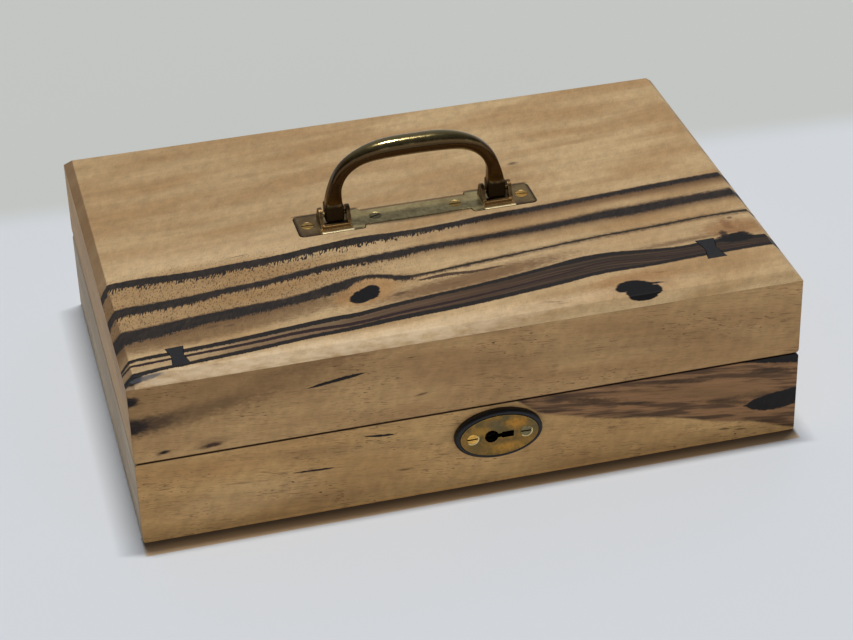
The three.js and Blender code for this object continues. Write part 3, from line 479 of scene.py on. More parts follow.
# Painting of wood
def spot_mask(graph, u, v, place, half_length, half_width, turn, fade, rough):
    """1 inside a turned ellipse and 0 outside it, over a fade in millimetres."""
    (x, y), angle = place, math.radians(turn)
    across = (u - x) * -math.sin(angle) + (v - y) * math.cos(angle)
    along = (u - x) * math.cos(angle) + (v - y) * math.sin(angle)
    radius = graph.distance(along / half_length, across / half_width)
    share = fade / (2 * min(half_width, half_length))
    return (radius + rough * share).step(1 + share, 1 - share)


def lay_spots(graph, colour, spots, u, v, rough):
    """The colour with spots over it, whose outlines are as uneven as rough."""
    for *shape, strength, tint in spots:
        colour = graph.mix(spot_mask(graph, u, v, *shape, rough) * strength, colour, tint)
    return colour


def plate_edge_shade():
    """Painted shade along the back edges of the handle plate, where it is let into the lid: middle, half
    length and half width.
    """
    bar, pad = PIN.y + BAR_WIDTH / 2 + 0.7, PLATE_HIGH.y + 0.6
    return [((PIN.x, bar), PLATE_REACH - PAD_LENGTH, 1.0),
            ((PLATE_LOW.x + PAD_LENGTH / 2, pad), PAD_LENGTH / 2, 0.4),
            ((PLATE_HIGH.x - PAD_LENGTH / 2, pad), PAD_LENGTH / 2, 0.4)]


class Board:
    """The wood of one board, painted coat by coat. u runs along its grain, v across and w through."""

    def __init__(self, name, axes, seed, slope, thread, top):
        self.graph = new_graph(name)
        self.seed = seed
        place = self.graph.place()
        u, v, self.w = [place["xyz".index(axis)] for axis in axes]
        if top:
            # The tables hold places as if the top ran on level to the front. The chamfer is
            # seen more squarely than that, so v runs faster on it.
            v = v - self.graph.math("MAXIMUM", CHAMFER_START - v, 0) * CHAMFER_STRETCH
        self.u, self.v = u, v

        flow = v + u * slope
        if top:
            # The grain swirls round the knots.
            for (x, y), size in KNOT_MIDDLES:
                du, dv = u - x, v - y
                near = du * du / SWIRL_STRETCH + dv * dv + size * size * SWIRL_CORE
                flow = flow - dv * (size * size * SWIRL_STRENGTH) / near
        self.grain = flow + self.noise((70, 24, 30), 0, detail=1) * 6

        self.mottle = self.noise((5, 7, 6), 2, along=u - v * 0.3)
        self.fibre = self.noise((11, thread, 0.9), 3, across=self.grain, detail=3, roughness=0.6)
        self.bands = self.noise((90, 2.6, 5), 5, across=self.grain)
        self.strokes = self.noise((0.9, 3.8, 3), 12, along=u - v * 0.4, roughness=0.6)
        # How uneven the outlines of spots and the edges of streaks are
        self.rough = (self.noise((2.6, 1.3, 1.6), 7) - 0.5) * 2
        self.edge = (self.noise((2.2, 1.1, 2), 8) - 0.5) * 1.6

    def noise(self, sizes, number, along=None, across=None, **settings):
        """Noise on this board. Each number has a pattern of its own."""
        fields = (along or self.u, across or self.v, self.w)
        return self.graph.noise(sizes, fields, seed=self.seed + number, **settings)

    def lay(self, *coats):
        self.colour = self.graph.layers(self.colour, *coats)

    def lay_spots(self, spots, rough):
        self.colour = lay_spots(self.graph, self.colour, spots, self.u, self.v, rough)

    def paint_ground(self, pale, golden, spots, stroke):
        haze = self.noise((60, 14, 16), 1, across=self.grain, detail=1).step(0.34, 0.66)
        self.pores = self.noise((2.6, 0.32, 0.6), 4, across=self.grain, detail=0).step(0.64, 0.76)
        self.colour = self.graph.mix(haze, pale, golden)
        self.lay_spots(spots, self.rough)
        tone = (1 + (self.mottle - 0.5) * 0.5 + (self.fibre - 0.5) * 0.32
                + (self.bands - 0.5) * 0.26 + (self.strokes - 0.5) * stroke)
        self.colour = self.graph.mix(1.0, self.colour, tone, "MULTIPLY")
        self.lay((self.pores * 0.3, PORE_COLOUR))

    def paint_dashes(self, amount):
        """Long open pores, and short dark ones where they crowd."""
        crowd = self.noise((34, 12, 20), 18, across=self.grain, detail=1).step(0.42, 0.62)
        marks = self.noise((6.5, 0.6, 1), 14, across=self.grain, detail=1).step(0.57, 0.69)
        dots = self.noise((2.4, 0.5, 1), 17, across=self.grain, detail=0).step(0.7, 0.78)
        self.lay((marks * (crowd * 0.8 + 0.4) * amount, DASH_COLOUR),
                 (dots * crowd * (amount * 2), DOT_COLOUR))

    def paint_top(self):
        """What only the top board has: flecks, a painted sheen at the front, a darker left chamfer for its
        end grain and as painted shade, and painted shade along the back edges of the handle plate.
        """
        graph, u, v = self.graph, self.u, self.v
        flecks = self.noise((0.55, 1.5, 2), 13, along=u - v * 0.25, detail=1).step(0.52, 0.68)
        flecked = spot_mask(graph, u, v, *FLECKED, self.rough)
        # A painted sheen along the front of the top board
        painted_sheen = self.noise((8, 6, 4), 15, along=u + v * 0.5).step(0.35, 0.65)
        self.lay((flecks * (flecked * 0.68 + 0.08), FLECK_COLOUR),
                 (painted_sheen * v.step(-92, -99) * u.step(60, -20) * 0.45, PAINTED_SHEEN_COLOUR),
                 # The left chamfer, darker for its end grain and as painted shade
                 (u.step(-145.8, -146.4) * 0.62, LEFT_CHAMFER_SHADE))
        # Painted shade along the back edges of the handle plate
        for (x, y), half_length, half_width in plate_edge_shade():
            along = abs(u - x).step(half_length + 1.5, half_length - 1.5)
            mask = abs(v - y + self.rough * 0.3).step(half_width + 0.7, half_width - 0.3) * along
            self.lay((mask * 0.75, PLATE_EDGE_SHADE))

    def paint_stain(self, streaks):
        """The stained wood between the first and the last of the streaks of STAIN_STREAKS."""
        graph, u, v = self.graph, self.u, self.v
        first, last = [streaks[k]["line"] for k in STAIN_STREAKS]
        head = graph.curve(u, [(x, low) for x, _, low in first])
        foot = graph.curve(u, [(x, high) for x, high, _ in last])
        share = graph.curve(u, [(x, amount * 100) for x, amount in STAIN]) / 100
        band = (head - v + self.edge).step(-2, -0.8) * (v - foot + self.edge).step(-2, -0.8)
        lines = self.noise((60, 0.7, 2), 10, across=v - head)
        tint = graph.layers(STAIN_LEFT, (u.step(-60, 60), STAIN_RIGHT),
                            (lines.step(0.5, 0.66) * 0.7, STAIN_DARK),
                            (lines.step(0.46, 0.34) * 0.6, STAIN_LIGHT))
        self.lay((band * share, tint))

    def paint_zone(self, border_points):
        """The stained wood above a border, marbled along the grain."""
        graph, u, v = self.graph, self.u, self.v
        border = graph.curve(u, border_points)
        inside = (v - border + self.edge * 0.8).step(-0.7, 0.9)
        marble = self.noise((22, 2.0, 5), 11, across=v + u * 0.14, detail=3)
        accent = (v - border).step(5, 0.4) * marble.step(0.35, 0.6)
        tint = graph.layers(ZONE_PALE, (marble.step(0.4, 0.6), ZONE_BROWN), (accent * 0.75, ZONE_DARK))
        tint = lay_spots(graph, tint, ZONE_SPOTS, u, v, self.rough)
        tone = 1 + (self.fibre - 0.5) * 0.7 + (self.bands - 0.5) * 0.6
        self.lay((inside * 0.95, graph.mix(1.0, tint, tone, "MULTIPLY")))

    def paint_streaks(self, streaks, top):
        """The dark streaks. On the top board they are softer to the right and combed to the left."""
        u, teeth, blur = self.u, 0.0, 1.0
        if top:
            left = u.step(50, -50)
            fine = self.noise((0.7, 3.4, 4), 9, along=u - self.v * 0.3, detail=1).step(0.38, 0.68)
            coarse = self.noise((4.5, 6, 4), 16, detail=1).step(0.35, 0.65)
            teeth = fine * (coarse * 0.5 + 0.5) * (left * 0.8 + 0.2)
            blur = self.graph.spread(left, 0, 1, 2.0, 1.0)
        thin = (self.mottle.step(0.42, 0.68) * 0.16 + self.fibre.step(0.45, 0.8) * 0.18
                + self.strokes.step(0.42, 0.7) * 0.2)
        for streak in streaks:
            mask, halo = self.streak_masks(streak, teeth, blur)
            if halo is not None:
                self.lay((halo, HALO_COLOUR))
            combed = streak["comb"] > COMBED
            ink = self.graph.layers(BROWN_INK, (mask.step(0.35, 0.95), streak.get("ink", INK)),
                                    (thin * (1.0 if combed else 0.25), THIN_INK))
            self.lay((mask.step(0.05, 0.85), ink))

    def streak_masks(self, streak, teeth, blur):
        """Where the streak is dark, and where its halo is if it has one."""
        graph, u, v, edge = self.graph, self.u, self.v, self.edge
        upper = graph.curve(u, [(x, top) for x, top, _ in streak["line"]])
        lower = graph.curve(u, [(x, low) for x, _, low in streak["line"]])
        soft_upper, soft_lower = streak["soft"]
        extent = None
        if "span" in streak:
            (start, end), taper = streak["span"], streak["taper"]
            share = (u - start).step(0, taper) * (end - u).step(0, taper)
            centre = (upper + lower) / 2
            upper = centre + (upper - centre) * share
            lower = centre + (lower - centre) * share
            extent = share.step(0, 0.2)
        wide = 0.5 if streak["comb"] > COMBED else 0
        reach_up, reach_down = blur * (soft_upper / 2), blur * (soft_lower / 2)
        depth = upper - v + edge * (0.2 + soft_upper / 2) + wide * 0.6
        above = graph.spread(depth, reach_up * -1, reach_up, 0, 1, "SMOOTHSTEP")
        height = v - lower + edge * (0.2 + soft_lower / 2) + teeth * streak["comb"] + wide
        below = graph.spread(height, reach_down * -1, reach_down, 0, 1, "SMOOTHSTEP")
        mask = above * below
        if extent is not None:
            mask = mask * extent
        halo = None
        if "halo" in streak:
            depth, strength, start, end = streak["halo"]
            halo = (v - lower + edge).step(-depth, 0) * above * u.step(start, end) * strength
        return mask * streak.get("strength", 1), halo


def streaked_wood(name, axes, seed, streaks=(), spots=(), zone=None, top=False, pale=PALE, golden=GOLDEN,
                  slope=0.0, stroke=0.3, dashes=0.0, shaded_bore=None, seam=False, thread=0.42):
    """A board's wood. axes are its coordinates along the grain, across it and through it, and
    thread is how wide its fibres are."""
    board = Board(name, axes, seed, slope, thread, top)
    graph, u, v = board.graph, board.u, board.v
    board.paint_ground(pale, golden, spots, stroke)
    if dashes:
        board.paint_dashes(dashes)
    if top:
        board.paint_top()
        board.paint_stain(streaks)
    if zone:
        board.paint_zone(zone)
    board.paint_streaks(streaks, top)
    if top:
        knots = [(*knot, 0.8, 1.0, KNOT_COLOUR) for knot in TOP_KNOTS]
        board.lay_spots([*TOP_PATCHES, *knots, KNOT_PALE_MARK], board.rough * 1.8)
    if seam:
        face = HALF_DEPTH if axes[2] == "y" else HALF_WIDTH
        rim = abs(v - SEAM).step(0.7, 0.35) * abs(board.w).step(face - 1.0, face - 0.5)
        board.lay((rim * 0.9, SEAM_COLOUR))
    # The hole behind the keyhole is painted nearly black: painted shade
    if shaded_bore:
        (x, z), radius = shaded_bore
        board.lay((graph.distance(u - x, v - z).step(radius + 1, radius), BORE_SHADE))
    relief = board.fibre * 0.5 - board.pores * 0.5
    return graph.finish(board.colour, 0.46 + board.fibre * 0.12, relief, height=0.035,
                        Specular_IOR_Level=0.15)


# Metals and ebony
def blotches(graph, size, low, high, seed, detail=3):
    noise = graph.noise((size, size, size), graph.place(), detail=detail, roughness=0.6, seed=seed)
    return noise.step(low, high)


def metal(name, size, roughness, seed, clean, toned, patina):
    """Metal that has aged in patches, from its clean colour through its toned to its patinated one."""
    graph = new_graph(name)
    x, y, z = graph.place()
    broad = blotches(graph, size, 0.38, 0.64, seed)
    fine = blotches(graph, size / 4, 0.36, 0.7, seed + 1)
    specks = blotches(graph, size / 12, 0.6, 0.78, seed + 2, detail=1)
    brushed = graph.noise((6, 0.12, 0.12), (x + y * 0.2, y, z), seed=seed + 3)
    colour = graph.layers(clean, (broad, toned), (fine * 0.55, patina), (specks * 0.35, METAL_GRIME))
    gloss = roughness + fine * 0.14 + brushed * 0.05
    return graph.finish(colour, gloss, brushed + fine * 0.6, height=0.01, Metallic=1.0)


def bronze_material():
    """Browned brass: olive along the top, where hands polish it and a painted reflection lightens it, with
    painted shade and a painted reflection of the wood where it faces sideways and down, and nearly black at
    the feet.
    """
    graph = new_graph("browned_brass")
    rise = graph.place()[2] - PIN.z
    broad = blotches(graph, 9, 0.36, 0.66, 31)
    fine = blotches(graph, 2.2, 0.4, 0.7, 32)
    # Lighter along the top: wear from hands, and a painted reflection
    worn = (rise + (broad - 0.5) * 3).step(24, 33)
    # By which way the surface faces: painted shade where it faces sideways, and a painted reflection of the
    # wood where it faces down
    lean = graph.coordinates("Normal")[2] + (broad - 0.5) * 0.2
    above_legs = rise.step(9, 14)
    feet = (rise + (fine - 0.5) * 1.2).step(6.2, 4.2)
    colour = graph.layers((98, 78, 45),
                          (broad, (74, 54, 31)),
                          (fine * 0.4, (62, 42, 26)),
                          (worn * 0.85, (150, 136, 94)),
                          # Painted shade where the bail faces sideways, then a painted reflection of the wood
                          # where it faces down
                          (lean.step(0.62, 0.36) * above_legs * 0.9, (70, 52, 32)),
                          (lean.step(0.2, -0.05) * above_legs * 0.9, (88, 72, 52)),
                          (feet * 0.85, (46, 38, 28)))
    return graph.finish(colour, 0.15 + fine * 0.07 + feet * 0.3, fine, height=0.004, Metallic=1.0)


def plate_material(name, edges=False):
    """Cast brass: grey olive on the bar, browner on the pads, with painted shade at their rims, a painted
    highlight along the front edges of the pads by the ears, and golden where rubbed.
    """
    graph = new_graph(name)
    x, y, z = graph.place()
    broad = blotches(graph, 8, 0.36, 0.66, 41)
    fine = blotches(graph, 1.8, 0.42, 0.7, 42)
    across, along, height = y - PIN.y, abs(x - PIN.x), z - LID_TOP
    bar = graph.mix(broad, (192, 176, 126), (160, 142, 98))
    pads = graph.mix(broad, (142, 120, 80), (110, 88, 58))
    ears = graph.mix(fine, (104, 80, 50), (74, 56, 36))
    # Painted shade at the rims of the pads, where the plate meets the lid
    rim = graph.math("MAXIMUM", abs(across).step(7.6, 9.2),
                     along.step(PLATE_REACH - 1.8, PLATE_REACH - 0.2))
    tall = height.step(0.7, 1.3)
    near_ears = abs(along - PLATE_REACH + BEARING_INSET).step(EAR_SPACING / 2 + 1.4, EAR_SPACING / 2 + 0.6)
    ledge = near_ears * across.step(-4.2, -4.8) * height.step(2.6, 2.1)
    colour = graph.layers(bar,
                          (along.step(PLATE_REACH - 18, PLATE_REACH - 9), pads),
                          (fine * 0.4, (96, 84, 58)),
                          (rim * along.step(24, 28) * 0.8, (48, 38, 27)),
                          (tall, ears),
                          (ledge * 0.9, (138, 108, 66)),
                          # A painted highlight along the front edge of the pads by the ears
                          (near_ears * across.step(-8.1, -8.5) * 0.95, (240, 226, 182)))
    if edges:
        colour = graph.mix(tall * height.step(2.2, 4.2) * 0.4, colour, (190, 174, 120))
    return graph.finish(colour, 0.38 + fine * 0.14, fine + broad * 0.5, height=0.012, Metallic=0.9)


# Patches on the oval plate: place from its middle, half length, half width and colour
OVAL_PATCHES = [
    ((-2, 5.8), 4, 2.4, (100, 92, 68)),
    ((8, 5.2), 5, 2.6, (196, 138, 58)),
    ((4, -6.6), 5, 1.8, (196, 142, 62)),
    ((-9, 3.4), 4, 2.6, (166, 126, 60)),
    ((-10, -5.6), 5, 2.0, (112, 92, 58)),
    ((15, 1.4), 2.4, 5, (104, 94, 64)),
    ((5, -3.2), 4, 0.8, (96, 80, 52)),
]


def oval_material(name, edges=False):
    """The escutcheon's brass: golden patches on grey olive, with a painted highlight and painted shade on a
    ring round each screw, and painted shade inside its holes.
    """
    graph = new_graph(name)
    x, y, z = graph.place()
    broad = blotches(graph, 5, 0.4, 0.62, 51)
    fine = blotches(graph, 1.6, 0.4, 0.7, 52)
    rough = (graph.noise((2.5, 2.5, 2.5), (x, y, z), seed=53) - 0.5) * 2
    colour = graph.mix(broad, (148, 112, 56), (104, 90, 58))
    spots = [((OVAL_MIDDLE.x + du, OVAL_MIDDLE.z + dv), half_length, half_width, 0, 3, 0.75, tint)
             for (du, dv), half_length, half_width, tint in OVAL_PATCHES]
    colour = lay_spots(graph, colour, spots, x, z, rough * 1.6)
    colour = graph.mix(fine * 0.35, colour, (104, 82, 46))
    for side in SIDES:
        screw = middle(f"escutcheon_screw_{side}")
        radius = half_size(f"escutcheon_screw_{side}")[0]
        dx, dz = x - screw.x, z - screw.z
        # Round each screw a ring with a painted highlight on one side and painted shade on the other
        ring = graph.distance(dx, dz).step(radius + 0.45, radius + 0.25)
        screw_ring_light_and_shade = graph.mix((dx * 0.7 - dz).step(-0.4, 1.6), (44, 36, 24), (248, 232, 180))
        colour = graph.mix(ring * 0.9, colour, screw_ring_light_and_shade)
    if edges:
        colour = graph.mix(0.6, colour, (206, 164, 88))
    # Deeper than its front face, in the keyhole and the screw holes, the brass is painted nearly black:
    # painted shade
    colour = graph.mix((y - OVAL_LOW.y).step(0.25, 0.4), colour, (10, 9, 7))
    return graph.finish(colour, 0.34 + fine * 0.16, fine, height=0.012, Metallic=0.95)


def ebony_material(name, axes):
    graph = new_graph(name)
    place = graph.place()
    fields = [place["xyz".index(axis)] for axis in axes]
    fibre = graph.noise((9, 0.3, 0.5), fields, seed=61)
    patches = graph.noise((7, 2.4, 3), fields, seed=62)
    colour = graph.layers((19, 19, 22), (patches.step(0.4, 0.7), (13, 13, 16)),
                          (fibre.step(0.56, 0.8) * 0.3, (36, 34, 35)))
    return graph.finish(colour, 0.34 + fibre * 0.12, fibre, height=0.02, Specular_IOR_Level=0.35)


# Meshes. Points are in millimetres; an object's mesh holds them in metres.
UP, FRONT = Vector((0, 0, 1)), Vector((0, -1, 0))
SIDES = ("left", "right")
# A radius near 0, for the ends of turned profiles
ON_AXIS = 0.01
# Points that a boolean leaves closer than this are one, and faces within this many degrees are flat.
SAME_POINT = 0.0005
FLAT_ANGLE = 0.5
CORNER_STEPS = 6


def to_mesh(name, bm):
    mesh = bpy.data.meshes.new(name)
    bm.to_mesh(mesh)
    bm.free()
    return mesh


def make_piece(name, bm, body, materials, node, smooth=True):
    """A new piece from a bmesh in millimetres. It rides on the body and stands for the CAD node."""
    bmesh.ops.recalc_face_normals(bm, faces=bm.faces)
    for face in bm.faces:
        face.smooth = smooth
    bmesh.ops.scale(bm, vec=(MM, MM, MM), verts=bm.verts)
    piece = add_object(name, to_mesh(name, bm))
    for material in materials:
        piece.data.materials.append(material)
    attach(piece, body)
    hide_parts(node)
    return piece


def loft(rings):
    """A solid bmesh over rings of points with the same count."""
    bm = bmesh.new()
    loops = [[bm.verts.new(point) for point in ring] for ring in rings]
    for first, second in zip(loops, loops[1:]):
        for k in range(len(first)):
            after = (k + 1) % len(first)
            bm.faces.new((first[k], first[after], second[after], second[k]))
    bm.faces.new(reversed(loops[0]))
    bm.faces.new(loops[-1])
    return bm


def ellipse(x, y, half_x, half_y, sides):
    return [(x + half_x * math.cos(TURN * k / sides), y + half_y * math.sin(TURN * k / sides))
            for k in range(sides)]


def prism(outline, axis, low, high):
    """A solid bmesh: an outline pushed along an axis, drawn in (y, z), (x, z) or (x, y)."""
    def at(point, depth):
        spread = list(point)
        spread.insert("xyz".index(axis), depth)
        return Vector(spread)
    bm = loft([[at(point, depth) for point in outline] for depth in (low, high)])
    bmesh.ops.recalc_face_normals(bm, faces=bm.faces)
    return bm


def lathe(profile, sides):
    """A solid bmesh turned about Z from (radius, height) points, whose ends are on the axis."""
    return loft([[(r * math.cos(TURN * k / sides), r * math.sin(TURN * k / sides), h) for k in range(sides)]
                 for r, h in profile])


def rounded(corner_list):
    """An outline from corners (x, y, radius), each rounding worked out from its two edges."""
    points = []
    for i, (x, y, radius) in enumerate(corner_list):
        corner = Vector((x, y))
        back = Vector(corner_list[i - 1][:2]) - corner
        ahead = Vector(corner_list[(i + 1) % len(corner_list)][:2]) - corner
        half = back.angle(ahead) / 2
        back.normalize()
        ahead.normalize()
        run = radius / math.tan(half)
        centre = corner + (back + ahead).normalized() * run / math.cos(half)
        start = corner + back * run - centre
        end = corner + ahead * run - centre
        sweep = math.atan2(start.x * end.y - start.y * end.x, start.dot(end))
        for k in range(CORNER_STEPS + 1):
            turned = Matrix.Rotation(sweep * k / CORNER_STEPS, 2) @ start + centre
            points.append((turned.x, turned.y))
    return points


def combine(base, others, operation):
    """The union or difference of bmesh solids, in millimetres."""
    main, *tools = [add_object("part", to_mesh("part", bm)) for bm in (base, *others)]
    for tool in tools:
        modifier = main.modifiers.new("join", "BOOLEAN")
        modifier.object = tool
        modifier.operation = operation
        modifier.solver = "EXACT"
    graph = bpy.context.evaluated_depsgraph_get()
    result = bmesh.new()
    result.from_mesh(main.evaluated_get(graph).to_mesh())
    for part in (main, *tools):
        mesh = part.data
        bpy.data.objects.remove(part)
        bpy.data.meshes.remove(mesh)
    bmesh.ops.remove_doubles(result, verts=result.verts, dist=SAME_POINT)
    flat = math.radians(FLAT_ANGLE)
    bmesh.ops.dissolve_limit(result, angle_limit=flat, verts=result.verts, edges=result.edges)
    return result


def bevel(piece, width, angle=32, segments=3, worn=None):
    """Rounds the piece's sharp edges. worn is the index of the material that the rounding shows."""
    modifier = piece.modifiers.new("edges", "BEVEL")
    modifier.width = width * MM
    modifier.segments = segments
    modifier.limit_method = "ANGLE"
    modifier.angle_limit = math.radians(angle)
    modifier.miter_outer = "MITER_ARC"
    modifier.harden_normals = True
    if worn is not None:
        modifier.material = worn


def smooth_share(value, low, high):
    share = min(1, max(0, (value - low) / (high - low)))
    return share * share * (3 - 2 * share)


def blend_value(first, second, share):
    return first + (second - first) * share


# Bail
GRIP_RADIUS = 4.75
LEG_RADIUS = 2.95
BAIL_RISE = corners("handle_bail")[1].z - PIN.z - GRIP_RADIUS
BEARING_INSET = 17.8
BAIL_HALF_SPAN = PLATE_REACH - BEARING_INSET
FOOT_WIDTH = 8.7
FOOT_DEPTH = 7.4
FOOT_TOP = 5.0
TOE_DROP = 2.72
TOE_ROUND = 0.5
LEG_SINK = 0.3
# Powers of the superellipses: 2 is round, and more is squarer
ARCH_POWER = 3
SOLE_POWER = 9
FOOT_POWER = 5
GRIP_POWER = 2.1
# Where the bail narrows to its legs, swells to its grip and turns round, from 0 at an end to 1
TAPER = (0.06, 0.26)
SWELL = (0.3, 0.85)
ROUNDING = (0.1, 0.6)
ARCH_STEPS = 1440
BAIL_STATIONS = 120
BAIL_SIDES = 56


def bail_ring(centre, outward, wide, front, back, power):
    """A boxy to round section. front and back are how far it reaches along -Y and +Y."""
    ring = []
    for k in range(BAIL_SIDES):
        angle = TURN * (k + 0.5) / BAIL_SIDES
        c, s = math.cos(angle), math.sin(angle)
        out = wide * math.copysign(abs(c) ** (2 / power), c)
        side = math.copysign(abs(s) ** (2 / power), s)
        side = side * (back if side > 0 else front)
        ring.append(centre + outward * out + Vector((0, side, 0)))
    return ring


def foot_rings(x, outward):
    """The foot from its sole up: round behind the pin, with a square toe in front."""
    half, deep = FOOT_WIDTH / 2, FOOT_DEPTH / 2
    straight = TOE_DROP - TOE_ROUND
    rings = []
    for drop, shrink in ((TOE_DROP, TOE_ROUND), (TOE_DROP - 0.15, 0.15), (straight, 0)):
        back = math.sqrt(deep ** 2 - drop ** 2) - shrink
        rings.append((drop, half - shrink, deep - shrink, back))
    for k in range(1, 7):
        drop = straight * (1 - k / 6)
        rings.append((drop, half, deep, math.sqrt(deep ** 2 - drop ** 2)))
    for lift in (1.5, FOOT_TOP - 0.6, FOOT_TOP - 0.25):
        rings.append((-lift, half, deep, deep))
    rings.append((-FOOT_TOP, half - 0.12, deep - 0.12, deep - 0.12))
    return [bail_ring(Vector((x, PIN.y, PIN.z - drop)), outward, wide, front, back, SOLE_POWER)
            for drop, wide, front, back in rings]


def bail_arch():
    """A function that gives the arch's middle line at a share of its length, from the left foot."""
    arch = []
    for k in range(ARCH_STEPS + 1):
        angle = math.pi * k / ARCH_STEPS
        c = math.cos(angle)
        across = math.copysign(abs(c) ** (2 / ARCH_POWER), c)
        height = BAIL_RISE * math.sin(angle) ** (2 / ARCH_POWER)
        arch.append(Vector((-BAIL_HALF_SPAN * across, 0, height)))
    run = [0.0]
    for first, second in zip(arch, arch[1:]):
        run.append(run[-1] + (second - first).length)

    def at(share):
        goal = min(1, max(0, share)) * run[-1]
        k = max(1, next(i for i, length in enumerate(run) if length >= goal - 1e-9))
        return arch[k - 1].lerp(arch[k], (goal - run[k - 1]) / (run[k] - run[k - 1]))

    return at


def bail():
    at = bail_arch()
    rings = foot_rings(PIN.x - BAIL_HALF_SPAN, Vector((-1, 0, 0)))
    nudge = 1 / BAIL_STATIONS
    for i in range(BAIL_STATIONS + 1):
        share = i / BAIL_STATIONS
        here = at(share)
        if here.z < FOOT_TOP + 0.1:
            continue
        near_end = 2 * min(share, 1 - share)
        along = (at(share + nudge) - at(share - nudge)).normalized()
        outward = Vector((-along.z, 0, along.x))
        swell = smooth_share(near_end, *SWELL)
        taper = smooth_share(near_end, *TAPER)
        wide, deep = [blend_value(blend_value(size / 2 - LEG_SINK, LEG_RADIUS, taper), GRIP_RADIUS, swell)
                      for size in (FOOT_WIDTH, FOOT_DEPTH)]
        power = blend_value(FOOT_POWER, GRIP_POWER, smooth_share(near_end, *ROUNDING))
        rings.append(bail_ring(here + PIN, outward, wide, deep, deep, power))
    rings.extend(reversed(foot_rings(PIN.x + BAIL_HALF_SPAN, Vector((1, 0, 0)))))
    make_piece("bail", loft(rings), "handle", [bronze_material()], "handle_bail")


# Handle plate and pins
PAD_LENGTH = 30.7
BAR_WIDTH = 12.4
PLATE_THICKNESS = 2.0
PLATE_TOP = LID_TOP + 0.3
PLATE_ROOT = PLATE_TOP - PLATE_THICKNESS / 2
PLATE_CORNER = 2.5
SHOULDER_ROUND = 3.0
EAR_SPACING = 12.8
EAR_THICKNESS = 1.8
EAR_BASE = 12.4
EAR_RADIUS = 3.4
LEDGE_HEIGHT = 1.88
FOOT_ROOM = 0.3
SCREW_ROOM = 0.12
PLATE_EDGE = 0.32
PIN_DOME = 0.45
PIN_SIDES = 32


def plate_outline():
    pad = PLATE_REACH - PAD_LENGTH
    step = SHOULDER_ROUND / 2
    half = [(pad, -BAR_WIDTH / 2, step), (pad, -PLATE_HALF_DEPTH, step),
            (PLATE_REACH, -PLATE_HALF_DEPTH, PLATE_CORNER), (PLATE_REACH, PLATE_HALF_DEPTH, PLATE_CORNER),
            (pad, PLATE_HALF_DEPTH, step), (pad, BAR_WIDTH / 2, step)]
    whole = half + [(-x, -y, radius) for x, y, radius in half]
    return rounded([(PIN.x + x, PIN.y + y, radius) for x, y, radius in whole])


def ear_outline():
    """An ear from the side: straight flanks that run into a round top."""
    drop = PIN.z - PLATE_TOP
    reach = math.hypot(EAR_BASE / 2, drop)
    lean = math.atan2(-drop, EAR_BASE / 2) + math.acos(EAR_RADIUS / reach)
    points = [(PIN.y - EAR_BASE / 2, PLATE_ROOT), (PIN.y + EAR_BASE / 2, PLATE_ROOT)]
    for k in range(17):
        angle = lean + (math.pi - 2 * lean) * k / 16
        points.append((PIN.y + EAR_RADIUS * math.cos(angle), PIN.z + EAR_RADIUS * math.sin(angle)))
    return points


def ledge_outline():
    """The ledge in front of the foot, hollowed so that the foot turns clear of it."""
    clear = FOOT_DEPTH / 2 + FOOT_ROOM
    start = math.asin((PIN.z - LID_TOP - LEDGE_HEIGHT) / clear)
    end = math.asin((PIN.z - PLATE_TOP + 0.05) / clear) if PIN.z - PLATE_TOP < clear else math.pi / 2
    hollow = [(PIN.y - clear * math.cos(angle), PIN.z - clear * math.sin(angle))
              for angle in (start + (end - start) * k / 8 for k in range(9))]
    front = PIN.y - EAR_BASE / 2
    return [(front, LID_TOP + LEDGE_HEIGHT), *hollow, (PIN.y, PLATE_ROOT), (front, PLATE_ROOT)]


def screw_hole(node, out, cone, depth, level):
    """The countersink of a screw with a plain hole below it. level is where the surface lies."""
    place = middle(node)
    place[1 if out.y else 2] = level
    head = half_size(node)[0] + SCREW_ROOM
    half = head / 2
    bm = lathe([(ON_AXIS, -depth), (half, -depth), (half, -cone), (head, 0), (head, 2), (ON_AXIS, 2)],
               SCREW_SIDES)
    turn = UP.rotation_difference(out).to_matrix().to_4x4()
    bmesh.ops.transform(bm, matrix=Matrix.Translation(place) @ turn, verts=bm.verts)
    bmesh.ops.recalc_face_normals(bm, faces=bm.faces)
    return bm


def handle_plate():
    inner = (EAR_SPACING - EAR_THICKNESS) / 2
    outer = (EAR_SPACING + EAR_THICKNESS) / 2
    inside = inner + EAR_THICKNESS / 2
    parts = []
    for x in (PIN.x - BAIL_HALF_SPAN, PIN.x + BAIL_HALF_SPAN):
        parts.append(prism(ledge_outline(), "x", x - inside, x + inside))
        for side in (-1, 1):
            low, high = sorted((x + side * inner, x + side * outer))
            parts.append(prism(ear_outline(), "x", low, high))
    plate = prism(plate_outline(), "z", PLATE_TOP - PLATE_THICKNESS, PLATE_TOP)
    plate = combine(plate, parts, "UNION")
    holes = [screw_hole(f"handle_screw_{k}", UP, cone=1.6, depth=4, level=PLATE_TOP) for k in range(1, 5)]
    plate = combine(plate, holes, "DIFFERENCE")
    finishes = [plate_material("cast_brass"), plate_material("cast_brass_edges", True)]
    plate = make_piece("handle_base", plate, "lid", finishes, "handle_plate")
    bevel(plate, PLATE_EDGE, worn=1)


